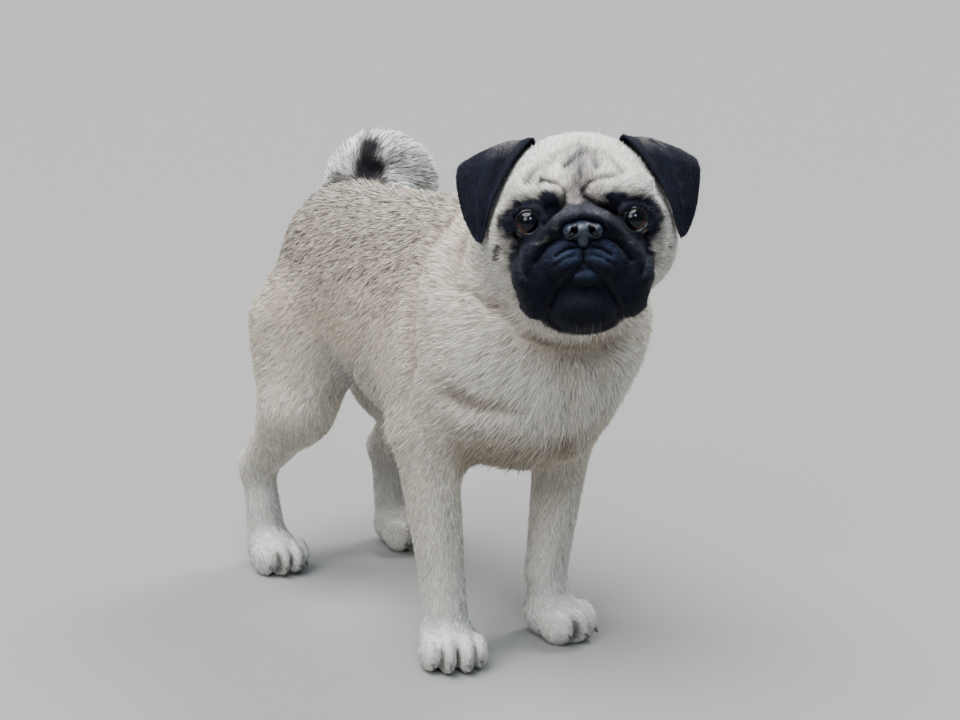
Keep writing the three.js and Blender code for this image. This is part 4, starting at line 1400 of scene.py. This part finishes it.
def whiskers(skin_places, skin_normals, material):
    q = to_head(skin_places)
    picked = []
    for centre, reach, count in WHISKER_BEDS:
        for side in (RIGHT, LEFT):
            bed = np.flatnonzero(length(q - np.array(centre) * (side, 1, 1)) < reach)
            picked.append(rng.choice(bed, min(count, len(bed)), replace=False))
    picked = np.concatenate(picked)
    roots, normals = skin_places[picked], skin_normals[picked]
    lie = coat_lie(roots, normals, parts_at(roots))
    count = len(picked)
    form = np.zeros((count, 4))
    form[:, 0] = rng.uniform(*WHISKER_LENGTHS, count)
    form[:, 1] = WHISKER_WIDTH
    form[:, 2] = rng.uniform(*WHISKER_RAISES, count)
    pale = (rng.random(count) < PALE_WHISKERS)[:, None]
    piece = tuft_mesh("whiskers", roots, normals, lie, form, np.where(pale, GREY, SKY_TINTED_VELVET))
    piece.data.materials.append(material)
    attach(piece, BODY)


# The skin has the coat's markings, but darker with painted shade, as it is seen between the hairs in their
# shade.
FLESH = ["torso", "neck", "head", "tail"]
for part in ("ear", "foreleg", "hindleg", "forepaw", "hindpaw"):
    FLESH += [f"{part}_right", f"{part}_left"]
SKIN_SHADE = 0.7

skin = skin_with_ears()
places, normals, triangles = surface_of(skin)
paint(skin, SKIN_SHADE * markings(places, normals, parts_at(places)))
hide = painted_material("skin", roughness=0.8, specular=0.2, sheen=0.1)
add_bump(hide, "ShaderNodeTexNoise", "Fac", scale=1400, strength=0.5, distance=0.0006)
skin.data.materials.append(hide)
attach(skin, BODY)
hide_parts(*FLESH)


# Chance turns the tufts, changes their size and raise, and mixes darker and lighter hairs, with the
# most dark ones along the top of the back.
TURN_CHANCE, SIZE_CHANCE, RAISE_CHANCE = 0.17, 0.18, 3.5
WIDTH_CHANCE = 0.6
SHADE_CHANCE, DARK_SHADE_CHANCE = 0.3, 0.7
DARK_HAIR = 0.04
LIGHT_HAIR, WHITEST = 1.12, 0.97


def chance_forms(p, parts):
    form = coat_form(p, parts)
    sizes = rng.lognormal(0, SIZE_CHANCE, (TUFT_COUNT, 1))
    form = form * (sizes * (1, WIDTH_CHANCE, 1, 0) + (0, 1 - WIDTH_CHANCE, 0, 1))
    form[:, 2] += rng.normal(0, RAISE_CHANCE, TUFT_COUNT)
    return form


def chance_colours(p, normal, parts):
    topside = smoothstep(p[:, 2] + 0.1 * p[:, 1], 62, 90) * smoothstep(p[:, 1], -44, -12)
    grizzled = (rng.random(TUFT_COUNT) < 0.1 + 0.34 * topside + 0.08 * parts.head)[:, None]
    colours = markings(p, normal, parts)
    chance = np.where(colours.mean(1) < DARK_HAIR, DARK_SHADE_CHANCE, SHADE_CHANCE)[:, None]
    colours = colours * np.exp(rng.normal(0, 1, (TUFT_COUNT, 1)) * chance)
    darker = 0.55 - 0.38 * topside[:, None]
    return np.minimum(colours * np.where(grizzled, darker, LIGHT_HAIR), WHITEST)


def grow_coat(material):
    roots, root_normals = roots_on(places, normals, triangles)
    parts = parts_at(roots)
    lie = coat_lie(roots, root_normals, parts)
    turns = rng.normal(0, TURN_CHANCE, TUFT_COUNT)[:, None]
    lie = unit(lie + turns * np.cross(root_normals, lie))
    form = chance_forms(roots, parts)
    tufts = (roots, root_normals, lie, form, chance_colours(roots, root_normals, parts))
    order = np.argsort(rng.random(TUFT_COUNT))
    for number, start in enumerate(range(0, TUFT_COUNT, TUFTS_PER_PIECE), 1):
        chosen = order[start:start + TUFTS_PER_PIECE]
        piece = tuft_mesh(f"coat_{number}", *[rows[chosen] for rows in tufts])
        piece.data.materials.append(material)
        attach(piece, BODY)


fur = painted_material("fur", roughness=0.6, specular=0.14, sheen=0.04)
grow_coat(fur)
nose_skin(painted_material("leather", roughness=0.34, specular=0.5))
claws(painted_material("horn", roughness=0.35, specular=0.5))
wet = painted_material("wet", roughness=0.35, specular=0.0, clear=1.0)
for name, side in SIDES:
    eye(name, side, wet)
whiskers(places, normals, fur)
add_camera()
add_stage()

boxes = {"cad": cad_box, "visual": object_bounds()}
{name: [list(corner) for corner in box] for name, box in boxes.items()}
